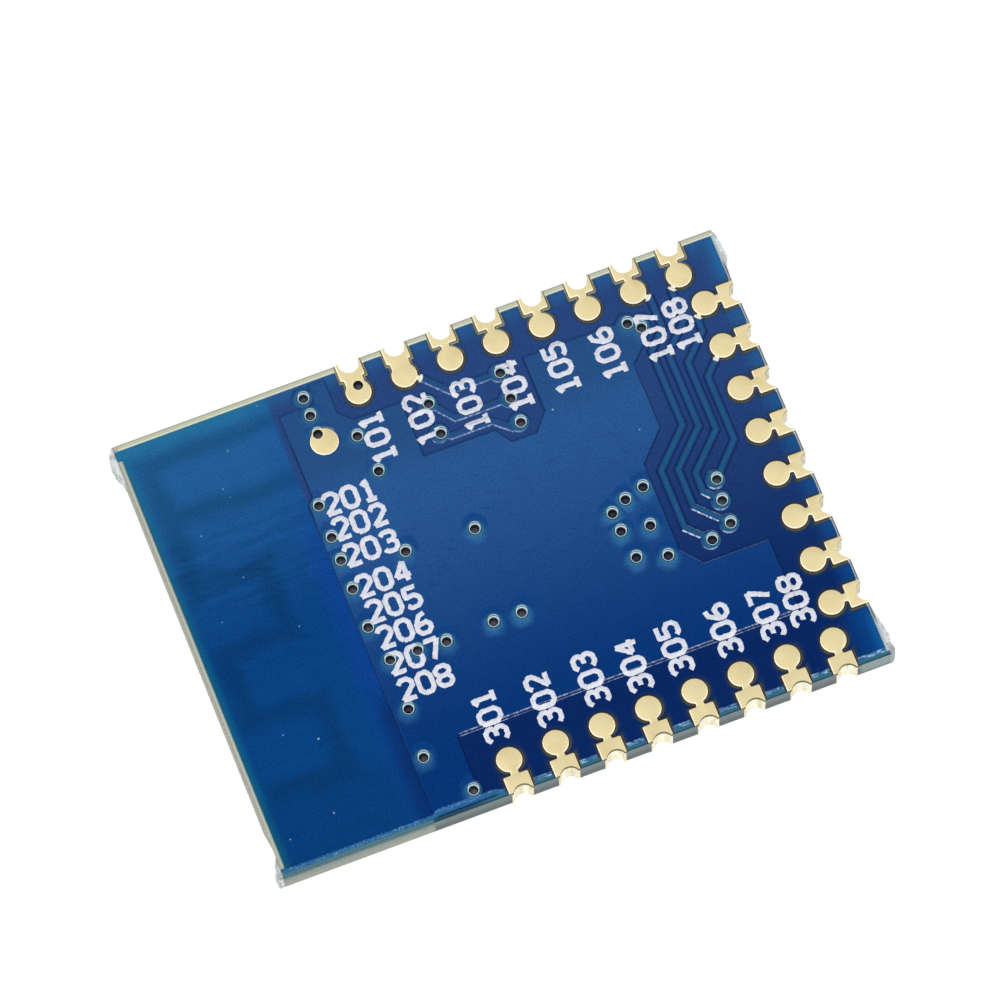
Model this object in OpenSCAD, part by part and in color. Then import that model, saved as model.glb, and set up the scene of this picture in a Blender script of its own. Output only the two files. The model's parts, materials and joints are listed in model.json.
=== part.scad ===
// Short-range radio module: a small two-sided circuit board with half-round plated edge pads.
// The solder side faces +Z and the parts hang below, so the board rests on its chip and its crystal.
// Lengths are in millimetres. X runs from the antenna end to the pad column, Y across the two pad rows.

/* [Board] */
// Thickness of the laminate
board_t = 0.8; // [0.6:0.1:1.6]
// Length of the antenna end, which has no copper on the solder side
antenna_zone = 4.95; // [4.5:0.05:7]
// Length from the antenna end to the first pad of a row
feed_zone = 2.7; // [2.6:0.1:4]
// Length from the last pad of a row to the end of the board
end_margin = 1.45; // [1.4:0.05:2.5]
// Width from the last pad of the column to the side of the board
corner_margin = 2.2; // [2.1:0.05:3]
// How far the torn panel stubs stand out of the two ends
stub_out = 0.2; // [0.05:0.05:0.4]
// Length of a stub along the end
stub_run = 1.4; // [0.8:0.1:2]

/* [Edge pads] */
// Distance between neighbouring pads
pad_pitch = 1.5; // [1.4:0.05:1.8]
// Distance of a round land from the edge of the board
pad_inset = 1.05; // [1:0.05:1.2]
// Diameter of the round land
land_d = 0.8; // [0.6:0.05:0.9]
// Width of the neck between the round land and the edge tab
neck_w = 0.25; // [0.15:0.05:0.4]
// Width of the neck on the two pads that have a full one
wide_neck_w = 0.6; // [0.5:0.05:0.7]
// Width of the edge tab
tab_w = 0.79; // [0.77:0.01:0.9]
// Length of the edge tab
tab_l = 0.55; // [0.5:0.05:0.65]
// Diameter of the plated half hole
half_hole_d = 0.66; // [0.5:0.02:0.7]
// Thickness of the plating in a half hole
plate_t = 0.04; // [0.02:0.01:0.05]
// Distance of the hole centres outside the edge
hole_out = 0.04; // [0:0.01:0.1]
// Shift of the drilling along X, as on the real board
drill_shift_x = 0.04; // [-0.05:0.01:0.05]
// Shift of the drilling of the rows along Y, as on the real board
drill_shift_y = -0.1; // [-0.1:0.01:0.1]
// Shift of the drilling of the column along Y, as on the real board
column_shift_y = -0.03; // [-0.06:0.01:0.06]

/* [Copper and mask] */
// Thickness of the copper on either side
copper_t = 0.05; // [0.035:0.005:0.07]
// Thickness of the solder mask
mask_t = 0.03; // [0.02:0.005:0.04]
// Thickness of the mask on the flanks of the copper
mask_wall = 0.05; // [0.03:0.01:0.08]
// Gap between a pad and the mask
mask_gap = 0.07; // [0.05:0.01:0.12]
// Shift of the mask openings along X, as on the real board
mask_shift_x = 0; // [-0.03:0.01:0.03]
// Shift of the mask openings along Y, as on the real board
mask_shift_y = -0.02; // [-0.03:0.01:0.03]
// How far the mask stops short of the upper side
mask_back_upper = 0.2; // [0.1:0.05:0.3]
// How far the mask stops short of the lower side
mask_back_lower = 0.12; // [0.08:0.02:0.3]
// How far the mask stops short of the antenna end
mask_back_start = 0.15; // [0.05:0.05:0.3]
// How far the mask stops short of the end with the pad column
mask_back_end = 0.08; // [0.04:0.02:0.2]
// Width of the tongue of mask left on the upper stub of the antenna end
mask_tongue_w = 0.32; // [0.2:0.02:0.4]
// Width of a trace on the solder side
trace_w = 0.14; // [0.1:0.02:0.24]
// Width of a trace on the component side
fan_w = 0.15; // [0.1:0.01:0.2]
// Width of the radio line and the antenna
antenna_w = 0.6; // [0.4:0.05:0.8]
// Length of a fold of the antenna, along the middle of its track
antenna_reach = 2.2; // [1.6:0.1:2.6]

/* [Vias] */
// Diameter of the open hole of a via
via_hole_d = 0.3; // [0.2:0.05:0.35]
// Thickness of the barrel of a via
via_wall = 0.06; // [0.03:0.01:0.08]
// Diameter of the copper ring round a via
via_ring_d = 0.56; // [0.56:0.02:0.74]
// Shift of the rings of the solder side along X, as on the real board
ring_shift_x = -0.05; // [-0.05:0.01:0.05]
// Shift of the rings of the solder side along Y, as on the real board
ring_shift_y = 0.02; // [-0.04:0.01:0.04]
// Diameter of the bare test pad
test_pad_d = 0.9; // [0.7:0.05:1]

/* [Chip] */
// Side of the square chip
chip_w = 6; // [5.6:0.1:6.2]
// Height of the chip
chip_h = 0.85; // [0.75:0.05:1]
// Distance between neighbouring terminals
terminal_pitch = 0.5; // [0.4:0.05:0.5]
// Width of a terminal
terminal_w = 0.25; // [0.18:0.01:0.28]
// Length of a terminal
terminal_l = 0.4; // [0.3:0.05:0.5]
// Thickness of the terminals and the heat pad
terminal_t = 0.2; // [0.15:0.05:0.3]
// Side of the square heat pad
heat_pad_w = 4.2; // [3.8:0.1:4.4]
// Diameter of the dimple that marks the first terminal
dimple_d = 0.5; // [0.3:0.1:0.8]
// Depth of the dimple
dimple_deep = 0.06; // [0.03:0.01:0.1]
// Distance from the pad column to the chip
chip_gap = 2.25; // [2:0.05:2.6]
// How far the chip stands off the middle of the board
chip_drop = 0.9; // [0.5:0.1:1.1]

/* [Crystals] */
// Length of the main crystal
crystal_l = 3.2; // [2.5:0.1:3.3]
// Width of the main crystal
crystal_w = 2.5; // [2:0.1:2.6]
// Height of the ceramic base of the main crystal
crystal_base_h = 0.55; // [0.45:0.05:0.7]
// Height of the metal lid of the main crystal
crystal_lid_h = 0.3; // [0.2:0.05:0.3]
// Length of the clock crystal
clock_l = 3.2; // [2:0.1:3.3]
// Width of the clock crystal
clock_w = 1.5; // [1.2:0.1:1.6]
// Height of the ceramic base of the clock crystal
clock_base_h = 0.5; // [0.4:0.05:0.6]
// Height of the metal lid of the clock crystal
clock_lid_h = 0.25; // [0.15:0.05:0.25]
// How far a lid stands back from the edge of its base
lid_inset = 0.18; // [0.1:0.02:0.3]
// Radius of the notches at the corners of a base
corner_notch_r = 0.2; // [0.1:0.05:0.3]

/* [Small parts] */
// Length of a chip capacitor, inductor or resistor
small_l = 1; // [0.9:0.05:1.05]
// Width of a chip capacitor, inductor or resistor
small_w = 0.5; // [0.4:0.05:0.55]
// Height of a chip capacitor or inductor
small_h = 0.5; // [0.4:0.05:0.6]
// Height of a chip resistor
resistor_h = 0.35; // [0.3:0.05:0.4]
// Length of the metal end of a small part
small_end_l = 0.25; // [0.15:0.05:0.3]
// How far the metal ends stand proud of the body
small_end_proud = 0.02; // [0.01:0.005:0.03]
// Radius of the rounded edges of a small part
small_edge_r = 0.05; // [0.02:0.01:0.08]
// Thickness of the solder under the parts
solder_t = 0.05; // [0.04:0.01:0.08]

/* [Hidden] */
$fn = 48;
PADS_PER_SIDE = 8;
PAD_COUNT = 3 * PADS_PER_SIDE;
TERMINALS_PER_SIDE = 10;
ANTENNA_RUNS = 5;

// Plan size and the edges of the board
row_span = (PADS_PER_SIDE - 1) * pad_pitch;
board_l = antenna_zone + feed_zone + row_span + end_margin;
board_w = row_span + 2 * corner_margin;
end_x = board_l / 2;
side_y = board_w / 2;

// Anchors that the copper is drawn from: the antenna line, the first pad, the column and the upper row
keep_x = -end_x + antenna_zone;
first_x = keep_x + feed_zone;
col_x = end_x - pad_inset;
row_y = side_y - pad_inset;
via_d = via_hole_d + 2 * via_wall;
drill_r = half_hole_d / 2 + plate_t;
ring_shift = [ring_shift_x, ring_shift_y];
mask_shift = [mask_shift_x, mask_shift_y];

// Heights, from the faces that the module rests on up to the solder side
crystal_h = crystal_base_h + crystal_lid_h;
clock_h = clock_base_h + clock_lid_h;
seat_z = max(chip_h, crystal_h, clock_h, small_h, resistor_h);
under_z = seat_z + solder_t + copper_t;
top_z = under_z + board_t;

// Torn stubs of the panel, one at each corner: shares of stub_out outwards and of stub_run from the corner
STUB_POINTS = 6;
STUB_UPPER_END = [[0, 0], [0.5, 0.15], [0.6, 0.42], [0.85, 0.69], [0.15, 0.95], [0, 1.2]];
STUB_UPPER_START = [[0, 0], [0.9, 0.17], [1, 0.34], [0.7, 0.57], [0.2, 0.73], [0, 0.9]];
STUB_LOWER_START = [[0.8, 0], [1, 0.14], [0.4, 0.36], [-0.4, 0.66], [-0.35, 0.9], [0, 1.3]];
STUB_LOWER_END = [[0.5, 0], [1, 0.09], [0.65, 0.26], [1, 0.43], [0.5, 0.77], [0, 1.2]];

// Outline of the board, anticlockwise, from the upper stub of the column end
OUTLINE = concat(
    stub_path(STUB_UPPER_END, 1, 1),
    stub_path(STUB_UPPER_START, -1, 1),
    stub_path(STUB_LOWER_START, -1, -1),
    stub_path(STUB_LOWER_END, 1, -1)
);

// Places of the parts on the component side
chip_at = [col_x - chip_gap - chip_w / 2, -chip_drop];
chip_left = chip_at.x - chip_w / 2;
chip_right = chip_at.x + chip_w / 2;
chip_top = chip_at.y + chip_w / 2;
chip_bottom = chip_at.y - chip_w / 2;
part_gap = 0.8;
crystal_at = [chip_left - part_gap - crystal_l / 2, chip_at.y + 0.3];
clock_at = [chip_left - part_gap - clock_l / 2, crystal_at.y - crystal_w / 2 - part_gap - clock_w / 2];
crystal_left = crystal_at.x - crystal_l / 2;
clock_left = clock_at.x - clock_l / 2;
tuning_x = chip_left - 1;
tuning_step = 0.9;
tuning_y = crystal_at.y + crystal_w / 2 + 1.1;
tuning_rise = 1.65;
filter_y = 0.75 - row_y;
load_gap = 0.7;
load_rise = 0.65;

// Small parts: place of the centre. All of them lie along Y.
CAPACITORS = [
    [crystal_left - load_gap, crystal_at.y + load_rise],
    [crystal_left - load_gap, crystal_at.y - load_rise],
    [clock_left - load_gap, clock_at.y + load_rise],
    [clock_left - load_gap, clock_at.y - load_rise],
    [tuning_x, tuning_y],
    [tuning_x - 2 * tuning_step, tuning_y],
    [tuning_x - 2 * tuning_step, tuning_y + tuning_rise],
    [chip_right + 0.4, chip_top + 0.5],
    [chip_right + 0.6, chip_bottom - 0.1],
    [keep_x + 0.65, filter_y],
    [keep_x + 1.55, filter_y]
];
INDUCTORS = [
    [tuning_x - tuning_step, tuning_y],
    [tuning_x - 3 * tuning_step, tuning_y],
    [tuning_x - 3 * tuning_step, tuning_y + tuning_rise]
];
RESISTORS = [
    [tuning_x - tuning_step, tuning_y + tuning_rise],
    [tuning_x - 4 * tuning_step, tuning_y],
    [tuning_x - 4 * tuning_step, tuning_y + tuning_rise]
];

// Ground vias in the pour: near the antenna feed, down the antenna line, across the middle and under the chip
POUR_VIAS = [
    [first_x - 1.65, row_y - 0.2],
    [first_x - 1.65, row_y - 0.85],
    [first_x - 0.55, row_y - 1.35],
    [first_x - 0.35, row_y - 2.65],
    [keep_x + 0.25, row_y - 3.05],
    [keep_x + 0.25, row_y - 4.15],
    [keep_x + 0.25, row_y - 4.95],
    [keep_x + 0.25, 0.45],
    [keep_x + 0.25, -0.88],
    [keep_x + 0.5, -2.1],
    [keep_x + 1.38, -2.12],
    [keep_x + 2.3, -2.17],
    [first_x + 1.15, -2.1],
    [first_x + 2.05, -2.13],
    [keep_x + 0.45, 2.62 - row_y],
    [keep_x + 0.32, 1 - row_y],
    [first_x - 0.52, 1],
    [first_x + 1.7, 0.92],
    [col_x - 2.1, row_y - 1.2],
    chip_at + [0.12, 0.75],
    chip_at + [0.65, 1.03],
    chip_at + [1.3, 1.22],
    chip_at + [0.15, 0.12],
    chip_at + [1.05, -0.03],
    chip_at + [0.28, -0.84],
    chip_at + [1.2, -1.14]
];
// Ground vias that stand beside the pour or across its edge, so that they have rings
EDGE_VIAS = [
    [first_x - 1.65, row_y + 0.4],
    [keep_x + 1.35, -0.52 - row_y],
    [col_x - 2.45, row_y - 0.92]
];
GROUND_VIAS = concat(POUR_VIAS, EDGE_VIAS);
// The via that joins the first pad to the component side
PAD_VIA = [first_x + 0.06, row_y + 0.2];
test_pad_at = [first_x - 1.55, row_y - 1.15];

// Traces on the solder side. Each ends in a via, and the first of a pair starts in one too.
link_x = first_x + 4.25;
PAD_TRACES = [
    [pad_at(1), pad_at(1) + [0.45, -0.3], [first_x + 2.6, row_y - 1], [link_x, row_y - 1]],
    [pad_at(6), pad_at(6) + [0.4, -0.4], [col_x - 1.5, row_y - 1.45], [col_x - 2.1, row_y - 2.05],
     [col_x - 2.1, 1.75], [col_x - 3.25, 0.6], [col_x - 3.25, -1.4], [col_x - 2.62, -2.05]],
    [pad_at(7), pad_at(7) + [-0.4, -0.4], [col_x - 0.8, row_y - 1.45], [col_x - 1.65, row_y - 2.3],
     [col_x - 1.65, 1.55], [col_x - 2.75, 0.45], [col_x - 2.75, -0.85], [col_x - 1.9, -1.75]],
    [pad_at(8), pad_at(8) + [-0.4, -0.4], [col_x - 0.4, pad_at(8).y - 0.85], [col_x - 1.2, pad_at(8).y - 1.65],
     [col_x - 1.2, 1.25], [col_x - 2.3, 0.15], [col_x - 2.3, -0.5], [col_x - 1.87, -0.97]],
    [pad_at(9), pad_at(9) + [-0.8, -0.8], [col_x - 0.8, 0.75], [col_x - 1.77, -0.27]]
];
LINK_TRACES = [
    [[first_x + 1.85, row_y - 1.15], [first_x + 2.45, row_y - 1.9], [link_x, row_y - 1.9]],
    [[first_x + 1.85, row_y - 2.2], [first_x + 2.1, row_y - 2.4], [first_x + 3.45, row_y - 2.4],
     [first_x + 3.95, row_y - 2.85], [link_x, row_y - 2.75]]
];
TRACES = concat(PAD_TRACES, LINK_TRACES);
SIGNAL_VIAS = concat(
    [for (path = TRACES) path[len(path) - 1]],
    [for (path = LINK_TRACES) path[0]]
);
RINGS = [for (at = concat(EDGE_VIAS, SIGNAL_VIAS)) at + ring_shift];
VIAS = concat(GROUND_VIAS, SIGNAL_VIAS, [PAD_VIA]);

// Outline of the ground pour on the solder side, anticlockwise from the lower left
POUR = [
    [keep_x, 0.3 - side_y],
    [keep_x + 1.45, 0.3 - side_y],
    [keep_x + 1.45, 1.25 - row_y],
    [keep_x + 1.55, 1.35 - row_y],
    [col_x - 1.05, 1.35 - row_y],
    [col_x - 1.05, -2.7],
    [col_x - 3.15, -2.7],
    [col_x - 3.7, -2],
    [col_x - 3.7, 1],
    [col_x - 2.8, 1.95],
    [col_x - 2.8, row_y - 2.25],
    [col_x - 1.85, row_y - 1.3],
    [col_x - 1.85, row_y - 0.85],
    [first_x + 5.1, row_y - 0.85],
    [first_x + 5.1, row_y - 2.7],
    [first_x + 4.6, row_y - 3.3],
    [first_x + 3.75, row_y - 3.3],
    [first_x + 3.4, row_y - 2.75],
    [first_x + 1.05, row_y - 2.75],
    [first_x + 1.05, row_y - 0.85],
    [first_x - 0.5, row_y - 0.85],
    [first_x - 0.9, row_y - 0.45],
    [first_x - 0.9, side_y - 0.35],
    [first_x - 1.35, side_y - 0.35],
    [first_x - 1.35, row_y + 0.05],
    [keep_x + 0.2, row_y + 0.05],
    [keep_x + 0.2, row_y - 2.75],
    [keep_x, row_y - 2.95]
];

// Antenna on the component side: the feed, then runs that fold back and forth, and the leg to ground
antenna_left = 0.8 - end_x;
antenna_right = antenna_left + antenna_reach;
feed_y = row_y - 1.9;
leg_y = row_y + 0.1;
last_run_y = 1.55 - row_y;
antenna_step = (feed_y - last_run_y) / (ANTENNA_RUNS - 1);
ANTENNA = concat(
    [[keep_x, feed_y]],
    [for (run = [0 : ANTENNA_RUNS - 1], end = [0, 1])
        if (run + end > 0)
            [(run + end) % 2 == 0 ? antenna_right : antenna_left, feed_y - run * antenna_step]]
);
ANTENNA_LEG = [[keep_x, leg_y], [antenna_left, leg_y], [antenna_left, feed_y]];

// Traces on the component side
FEED_LINE = [
    [INDUCTORS[2].x, INDUCTORS[2].y + small_l / 2],
    [INDUCTORS[2].x, feed_y - 0.4],
    [INDUCTORS[2].x - 0.4, feed_y],
    [keep_x, feed_y]
];
GROUND_LEG = [[keep_x, leg_y], [first_x - 1.65, leg_y]];
TUNING_TRACES = [
    [[chip_left, chip_at.y + 4.5 * terminal_pitch], [tuning_x, chip_at.y + 4.5 * terminal_pitch]],
    [small_end(CAPACITORS[4], 1), small_end(INDUCTORS[0], 1)],
    [small_end(INDUCTORS[0], -1), small_end(CAPACITORS[5], -1)],
    [small_end(CAPACITORS[5], 1), small_end(INDUCTORS[1], 1)],
    [small_end(INDUCTORS[1], 1), small_end(INDUCTORS[2], -1)],
    [small_end(CAPACITORS[6], -1), small_end(INDUCTORS[2], -1)]
];
FAN_TRACES = [for (i = [0 : PAD_COUNT - 1]) fan_path(i)];

// Lands on the component side: [centre, size]
LANDS = concat(
    [for (side = [0 : 3], k = [0 : TERMINALS_PER_SIDE - 1])
        [chip_at + turned([terminal_at(k), chip_w / 2 - terminal_l / 2 + 0.1], side),
         side % 2 == 0 ? [terminal_w, terminal_l + 0.3] : [terminal_l + 0.3, terminal_w]]],
    [[chip_at, [heat_pad_w, heat_pad_w]]],
    [for (at = concat(CAPACITORS, INDUCTORS, RESISTORS), end = [-1, 1])
        [small_end(at, end), [small_w + 0.1, small_end_l + 0.3]]],
    [for (sx = [-1, 1], sy = [-1, 1])
        [crystal_at + [sx * (crystal_l / 2 - 0.45), sy * (crystal_w / 2 - 0.4)], [1, 0.9]]],
    [for (sx = [-1, 1]) [clock_at + [sx * (clock_l / 2 - 0.4), 0], [0.9, clock_w - 0.2]]]
);

function pad_side(i) = floor(i / PADS_PER_SIDE);
function pad_step(i) = (i % PADS_PER_SIDE) * pad_pitch;
function pad_at(i) =
    pad_side(i) == 0 ? [first_x + pad_step(i), row_y] :
    pad_side(i) == 1 ? [col_x, row_span / 2 - pad_step(i)] :
    [first_x + row_span - pad_step(i), -row_y];
function outward(i) = turned([0, 1], pad_side(i));
function drill_shift(i) = [drill_shift_x, pad_side(i) == 1 ? column_shift_y : drill_shift_y];
function hole_at(i) = pad_at(i) + (pad_inset + hole_out) * outward(i) + drill_shift(i);
function pad_neck(i) = i < 2 ? wide_neck_w : neck_w;

// A vector after a number of clockwise quarter turns
function turned(v, quarters) =
    quarters == 0 ? v :
    turned([v.y, -v.x], quarters - 1);
function terminal_at(k) = (k - (TERMINALS_PER_SIDE - 1) / 2) * terminal_pitch;
function small_end(at, end) = at + [0, end * (small_l - small_end_l) / 2];

// Path from the tab of an edge pad to a terminal on the near side of the chip
function fan_path(i) =
    let (side = pad_side(i))
    let (out = outward(i))
    let (pad = pad_at(i))
    let (end = chip_at + turned([terminal_at(i % PADS_PER_SIDE + 1), chip_w / 2], side))
    [pad + (pad_inset - tab_l) * out, pad - (side == 1 ? 0.15 : 0.9) * out, end + 0.8 * out, end + 0.1 * out];

// Outline helpers: a path of constant width with mitred corners, and a closed outline moved outwards
function left_of(v) = [-v.y, v.x];
function heading(a, b) = (b - a) / norm(b - a);
function mitre(d1, d2) = (left_of(d1) + left_of(d2)) / (1 + d1 * d2);
function path_normal(path, i) =
    i == 0 ? left_of(heading(path[0], path[1])) :
    i == len(path) - 1 ? left_of(heading(path[i - 1], path[i])) :
    mitre(heading(path[i - 1], path[i]), heading(path[i], path[i + 1]));
function ribbon(path, w) = concat(
    [for (i = [0 : len(path) - 1]) path[i] - path_normal(path, i) * w / 2],
    [for (i = [len(path) - 1 : -1 : 0]) path[i] + path_normal(path, i) * w / 2]
);
function grown(loop, by) =
    let (n = len(loop))
    [for (i = [0 : n - 1])
        loop[i] - by * mitre(heading(loop[(i + n - 1) % n], loop[i]), heading(loop[i], loop[(i + 1) % n]))];

// Points of a stub at the corner with the given signs of X and Y, anticlockwise
function stub_path(stub, sx, sy) =
    [for (i = [0 : STUB_POINTS - 1])
        let (share = stub[sx == sy ? STUB_POINTS - 1 - i : i])
        [sx * (end_x + share.x * stub_out), sy * (side_y - share.y * stub_run)]];

function numbered(name, i) = str(name, i < 9 ? "_0" : "_", i + 1);

module layer(z, h) {
    translate([0, 0, z])
        linear_extrude(h)
            children();
}

module dots(places, d) {
    for (at = places)
        translate(at)
            circle(d = d);
}

module ribbons(paths, w) {
    for (path = paths)
        polygon(ribbon(path, w));
}

module rounded(size, r) {
    square(size - [0, 2 * r], center = true);
    square(size - [2 * r, 0], center = true);
    for (sx = [-1, 1], sy = [-1, 1])
        translate([sx * (size.x / 2 - r), sy * (size.y / 2 - r)])
            circle(r);
}

module board_rectangle() {
    square([board_l, board_w], center = true);
}

module half_hole(i, r) {
    translate(hole_at(i))
        circle(r);
}

// Lands of an edge pad: the round land, its neck and the tab at the edge, all grown by a margin
module tab_shape(i, margin = 0) {
    translate(pad_at(i))
        rotate(-90 * pad_side(i))
            translate([-tab_w / 2 - margin, pad_inset - tab_l - margin])
                square([tab_w + 2 * margin, tab_l + margin]);
}

module pad_shape(i, margin = 0) {
    neck = pad_neck(i) + 2 * margin;
    tab_shape(i, margin);
    translate(pad_at(i))
        rotate(-90 * pad_side(i)) {
            circle(d = land_d + 2 * margin);
            translate([-neck / 2, 0])
                square([neck, pad_inset - tab_l / 2]);
        }
}

module pad_shapes(margin = 0) {
    for (i = [0 : PAD_COUNT - 1])
        pad_shape(i, margin);
}

module tab_shapes(margin = 0) {
    for (i = [0 : PAD_COUNT - 1])
        tab_shape(i, margin);
}

module lands(margin = 0) {
    for (land = LANDS)
        translate(land[0])
            square(land[1] + 2 * margin * [1, 1], center = true);
}

// Copper under the mask, on either side, grown by a margin
module solder_side_shape(margin = 0) {
    polygon(grown(POUR, margin));
    ribbons(TRACES, trace_w + 2 * margin);
    dots(RINGS, via_ring_d + 2 * margin);
}

module component_side_shape(margin = 0) {
    ribbons(FAN_TRACES, fan_w + 2 * margin);
    ribbons(TUNING_TRACES, trace_w + 2 * margin);
    ribbons([FEED_LINE, GROUND_LEG], antenna_w + 2 * margin);
    dots(VIAS, via_ring_d + 2 * margin);
}

module antenna_shape(margin = 0) {
    ribbons([ANTENNA, ANTENNA_LEG], antenna_w + 2 * margin);
}

// Area that a mask covers, without the openings for the pads and the vias
module mask_rectangle() {
    length = board_l - mask_back_start - mask_back_end;
    width = board_w - mask_back_lower - mask_back_upper;
    translate([mask_back_start - end_x, mask_back_lower - side_y]) {
        square([length, width]);
        translate([-mask_back_start, width - mask_tongue_w])
            square([2 * mask_back_start, mask_tongue_w]);
        translate([-mask_back_start, 0])
            square([2 * mask_back_start, mask_tongue_w / 2]);
    }
}

module solder_side_area() {
    difference() {
        mask_rectangle();
        translate(mask_shift)
            pad_shapes(mask_gap);
        dots(VIAS, via_d);
        dots([test_pad_at], test_pad_d);
    }
}

module component_side_area() {
    difference() {
        mask_rectangle();
        tab_shapes(mask_gap);
        lands(mask_gap / 2);
        dots(VIAS, via_d);
    }
}

module board() {
    color("wheat")
        layer(under_z, board_t)
            difference() {
                polygon(OUTLINE);
                for (i = [0 : PAD_COUNT - 1])
                    half_hole(i, drill_r);
                dots(VIAS, via_d);
            }
}

// The mask is a film: thin on the bare laminate, and lifted where copper runs under it
module solder_side_mask() {
    color("royalblue")
        difference() {
            union() {
                layer(top_z, mask_t)
                    solder_side_area();
                layer(top_z, copper_t + mask_t)
                    intersection() {
                        solder_side_area();
                        solder_side_shape(mask_wall);
                    }
            }
            layer(top_z, copper_t)
                solder_side_shape();
        }
}

module component_side_mask() {
    color("royalblue")
        difference() {
            union() {
                layer(under_z - mask_t, mask_t)
                    component_side_area();
                layer(under_z - copper_t - mask_t, copper_t + mask_t)
                    intersection() {
                        component_side_area();
                        union() {
                            component_side_shape(mask_wall);
                            antenna_shape(mask_wall);
                        }
                    }
            }
            layer(under_z - copper_t, copper_t)
                union() {
                    component_side_shape();
                    antenna_shape();
                }
        }
}

module ground_pour() {
    color("peru")
        layer(top_z, copper_t)
            difference() {
                union() {
                    polygon(POUR);
                    dots([for (at = EDGE_VIAS) at + ring_shift], via_ring_d);
                }
                dots(GROUND_VIAS, via_d);
                dots([test_pad_at], test_pad_d);
            }
}

module signal_traces() {
    color("peru")
        layer(top_z, copper_t)
            difference() {
                union() {
                    ribbons(TRACES, trace_w);
                    dots([for (at = SIGNAL_VIAS) at + ring_shift], via_ring_d);
                }
                pad_shapes();
                dots(SIGNAL_VIAS, via_d);
            }
}

module component_side_copper() {
    color("peru")
        layer(under_z - copper_t, copper_t)
            difference() {
                union() {
                    component_side_shape();
                    lands();
                }
                tab_shapes();
                dots(VIAS, via_d);
            }
}

module antenna_trace() {
    color("peru")
        layer(under_z - copper_t, copper_t)
            antenna_shape();
}

module via_barrels() {
    color("khaki")
        layer(under_z - copper_t, board_t + 2 * copper_t)
            difference() {
                dots(VIAS, via_d);
                dots(VIAS, via_hole_d);
            }
}

module test_pad() {
    color("khaki")
        layer(top_z, copper_t)
            difference() {
                dots([test_pad_at], test_pad_d);
                dots(VIAS, via_d);
            }
}

// An edge pad: the land on the solder side, the plated wall of the half hole and the tab below
module edge_pad(i) {
    color("khaki") {
        layer(top_z, copper_t)
            difference() {
                pad_shape(i);
                half_hole(i, half_hole_d / 2);
                dots([PAD_VIA], via_d);
            }
        layer(under_z, board_t)
            intersection() {
                board_rectangle();
                difference() {
                    half_hole(i, drill_r);
                    half_hole(i, half_hole_d / 2);
                }
            }
        layer(under_z - copper_t, copper_t)
            difference() {
                tab_shape(i);
                half_hole(i, half_hole_d / 2);
                dots([PAD_VIA], via_d);
            }
    }
}

module solder_joints() {
    color("lightgray")
        layer(seat_z, solder_t)
            lands(-0.02);
}

module terminal_shapes() {
    translate(chip_at) {
        square(heat_pad_w, center = true);
        for (side = [0 : 3], k = [0 : TERMINALS_PER_SIDE - 1])
            rotate(-90 * side)
                translate([terminal_at(k), chip_w / 2 - terminal_l / 2])
                    square([terminal_w, terminal_l], center = true);
    }
}

module chip_body() {
    color("dimgray")
        difference() {
            translate([0, 0, seat_z - chip_h])
                linear_extrude(chip_h)
                    translate(chip_at)
                        square(chip_w, center = true);
            layer(seat_z - terminal_t, terminal_t)
                terminal_shapes();
            layer(seat_z - chip_h, dimple_deep)
                translate(chip_at - (chip_w / 2 - 2 * dimple_d) * [1, -1])
                    circle(d = dimple_d);
        }
}

module chip_terminals() {
    color("silver")
        layer(seat_z - terminal_t, terminal_t)
            terminal_shapes();
}

// A crystal: a ceramic base with round notches at its corners, and a rounded metal lid
module ceramic_base(at, size, h) {
    color("darkkhaki")
        layer(seat_z - h, h)
            translate(at)
                difference() {
                    square(size, center = true);
                    for (sx = [-1, 1], sy = [-1, 1])
                        translate([sx * size.x / 2, sy * size.y / 2])
                            circle(corner_notch_r);
                }
}

module metal_lid(at, size, base_h, h) {
    color("silver")
        layer(seat_z - base_h - h, h)
            translate(at)
                rounded(size - 2 * lid_inset * [1, 1], corner_notch_r);
}

module crystal_base() {
    ceramic_base(crystal_at, [crystal_l, crystal_w], crystal_base_h);
}

module crystal_lid() {
    metal_lid(crystal_at, [crystal_l, crystal_w], crystal_base_h, crystal_lid_h);
}

module clock_crystal_base() {
    ceramic_base(clock_at, [clock_l, clock_w], clock_base_h);
}

module clock_crystal_lid() {
    metal_lid(clock_at, [clock_l, clock_w], clock_base_h, clock_lid_h);
}

// A small part that lies along Y: a rounded bar with a metal end round each of its ends
module small_part(at, h, body_color) {
    translate([at.x, at.y + small_l / 2, seat_z - h / 2])
        rotate([90, 0, 0]) {
            color(body_color)
                linear_extrude(small_l)
                    rounded([small_w, h] - 2 * small_end_proud * [1, 1], small_edge_r);
            color("silver")
                for (z = [0, small_l - small_end_l])
                    translate([0, 0, z])
                        linear_extrude(small_end_l)
                            rounded([small_w, h], small_edge_r);
        }
}

module capacitor(i) {
    small_part(CAPACITORS[i], small_h, "tan");
}

module inductor(i) {
    small_part(INDUCTORS[i], small_h, "lightblue");
}

module resistor(i) {
    small_part(RESISTORS[i], resistor_h, "darkslategray");
}

board();
solder_side_mask();
component_side_mask();
ground_pour();
signal_traces();
component_side_copper();
antenna_trace();
via_barrels();
test_pad();
solder_joints();
chip_body();
chip_terminals();
crystal_base();
crystal_lid();
clock_crystal_base();
clock_crystal_lid();
for (i = [0 : PAD_COUNT - 1])
    edge_pad(i);
for (i = [0 : len(CAPACITORS) - 1])
    capacitor(i);
for (i = [0 : len(INDUCTORS) - 1])
    inductor(i);
for (i = [0 : len(RESISTORS) - 1])
    resistor(i);
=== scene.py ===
import json
import math
import random

import bmesh
import bpy
from mathutils import Matrix, Quaternion, Vector
from mathutils.bvhtree import BVHTree


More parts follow.
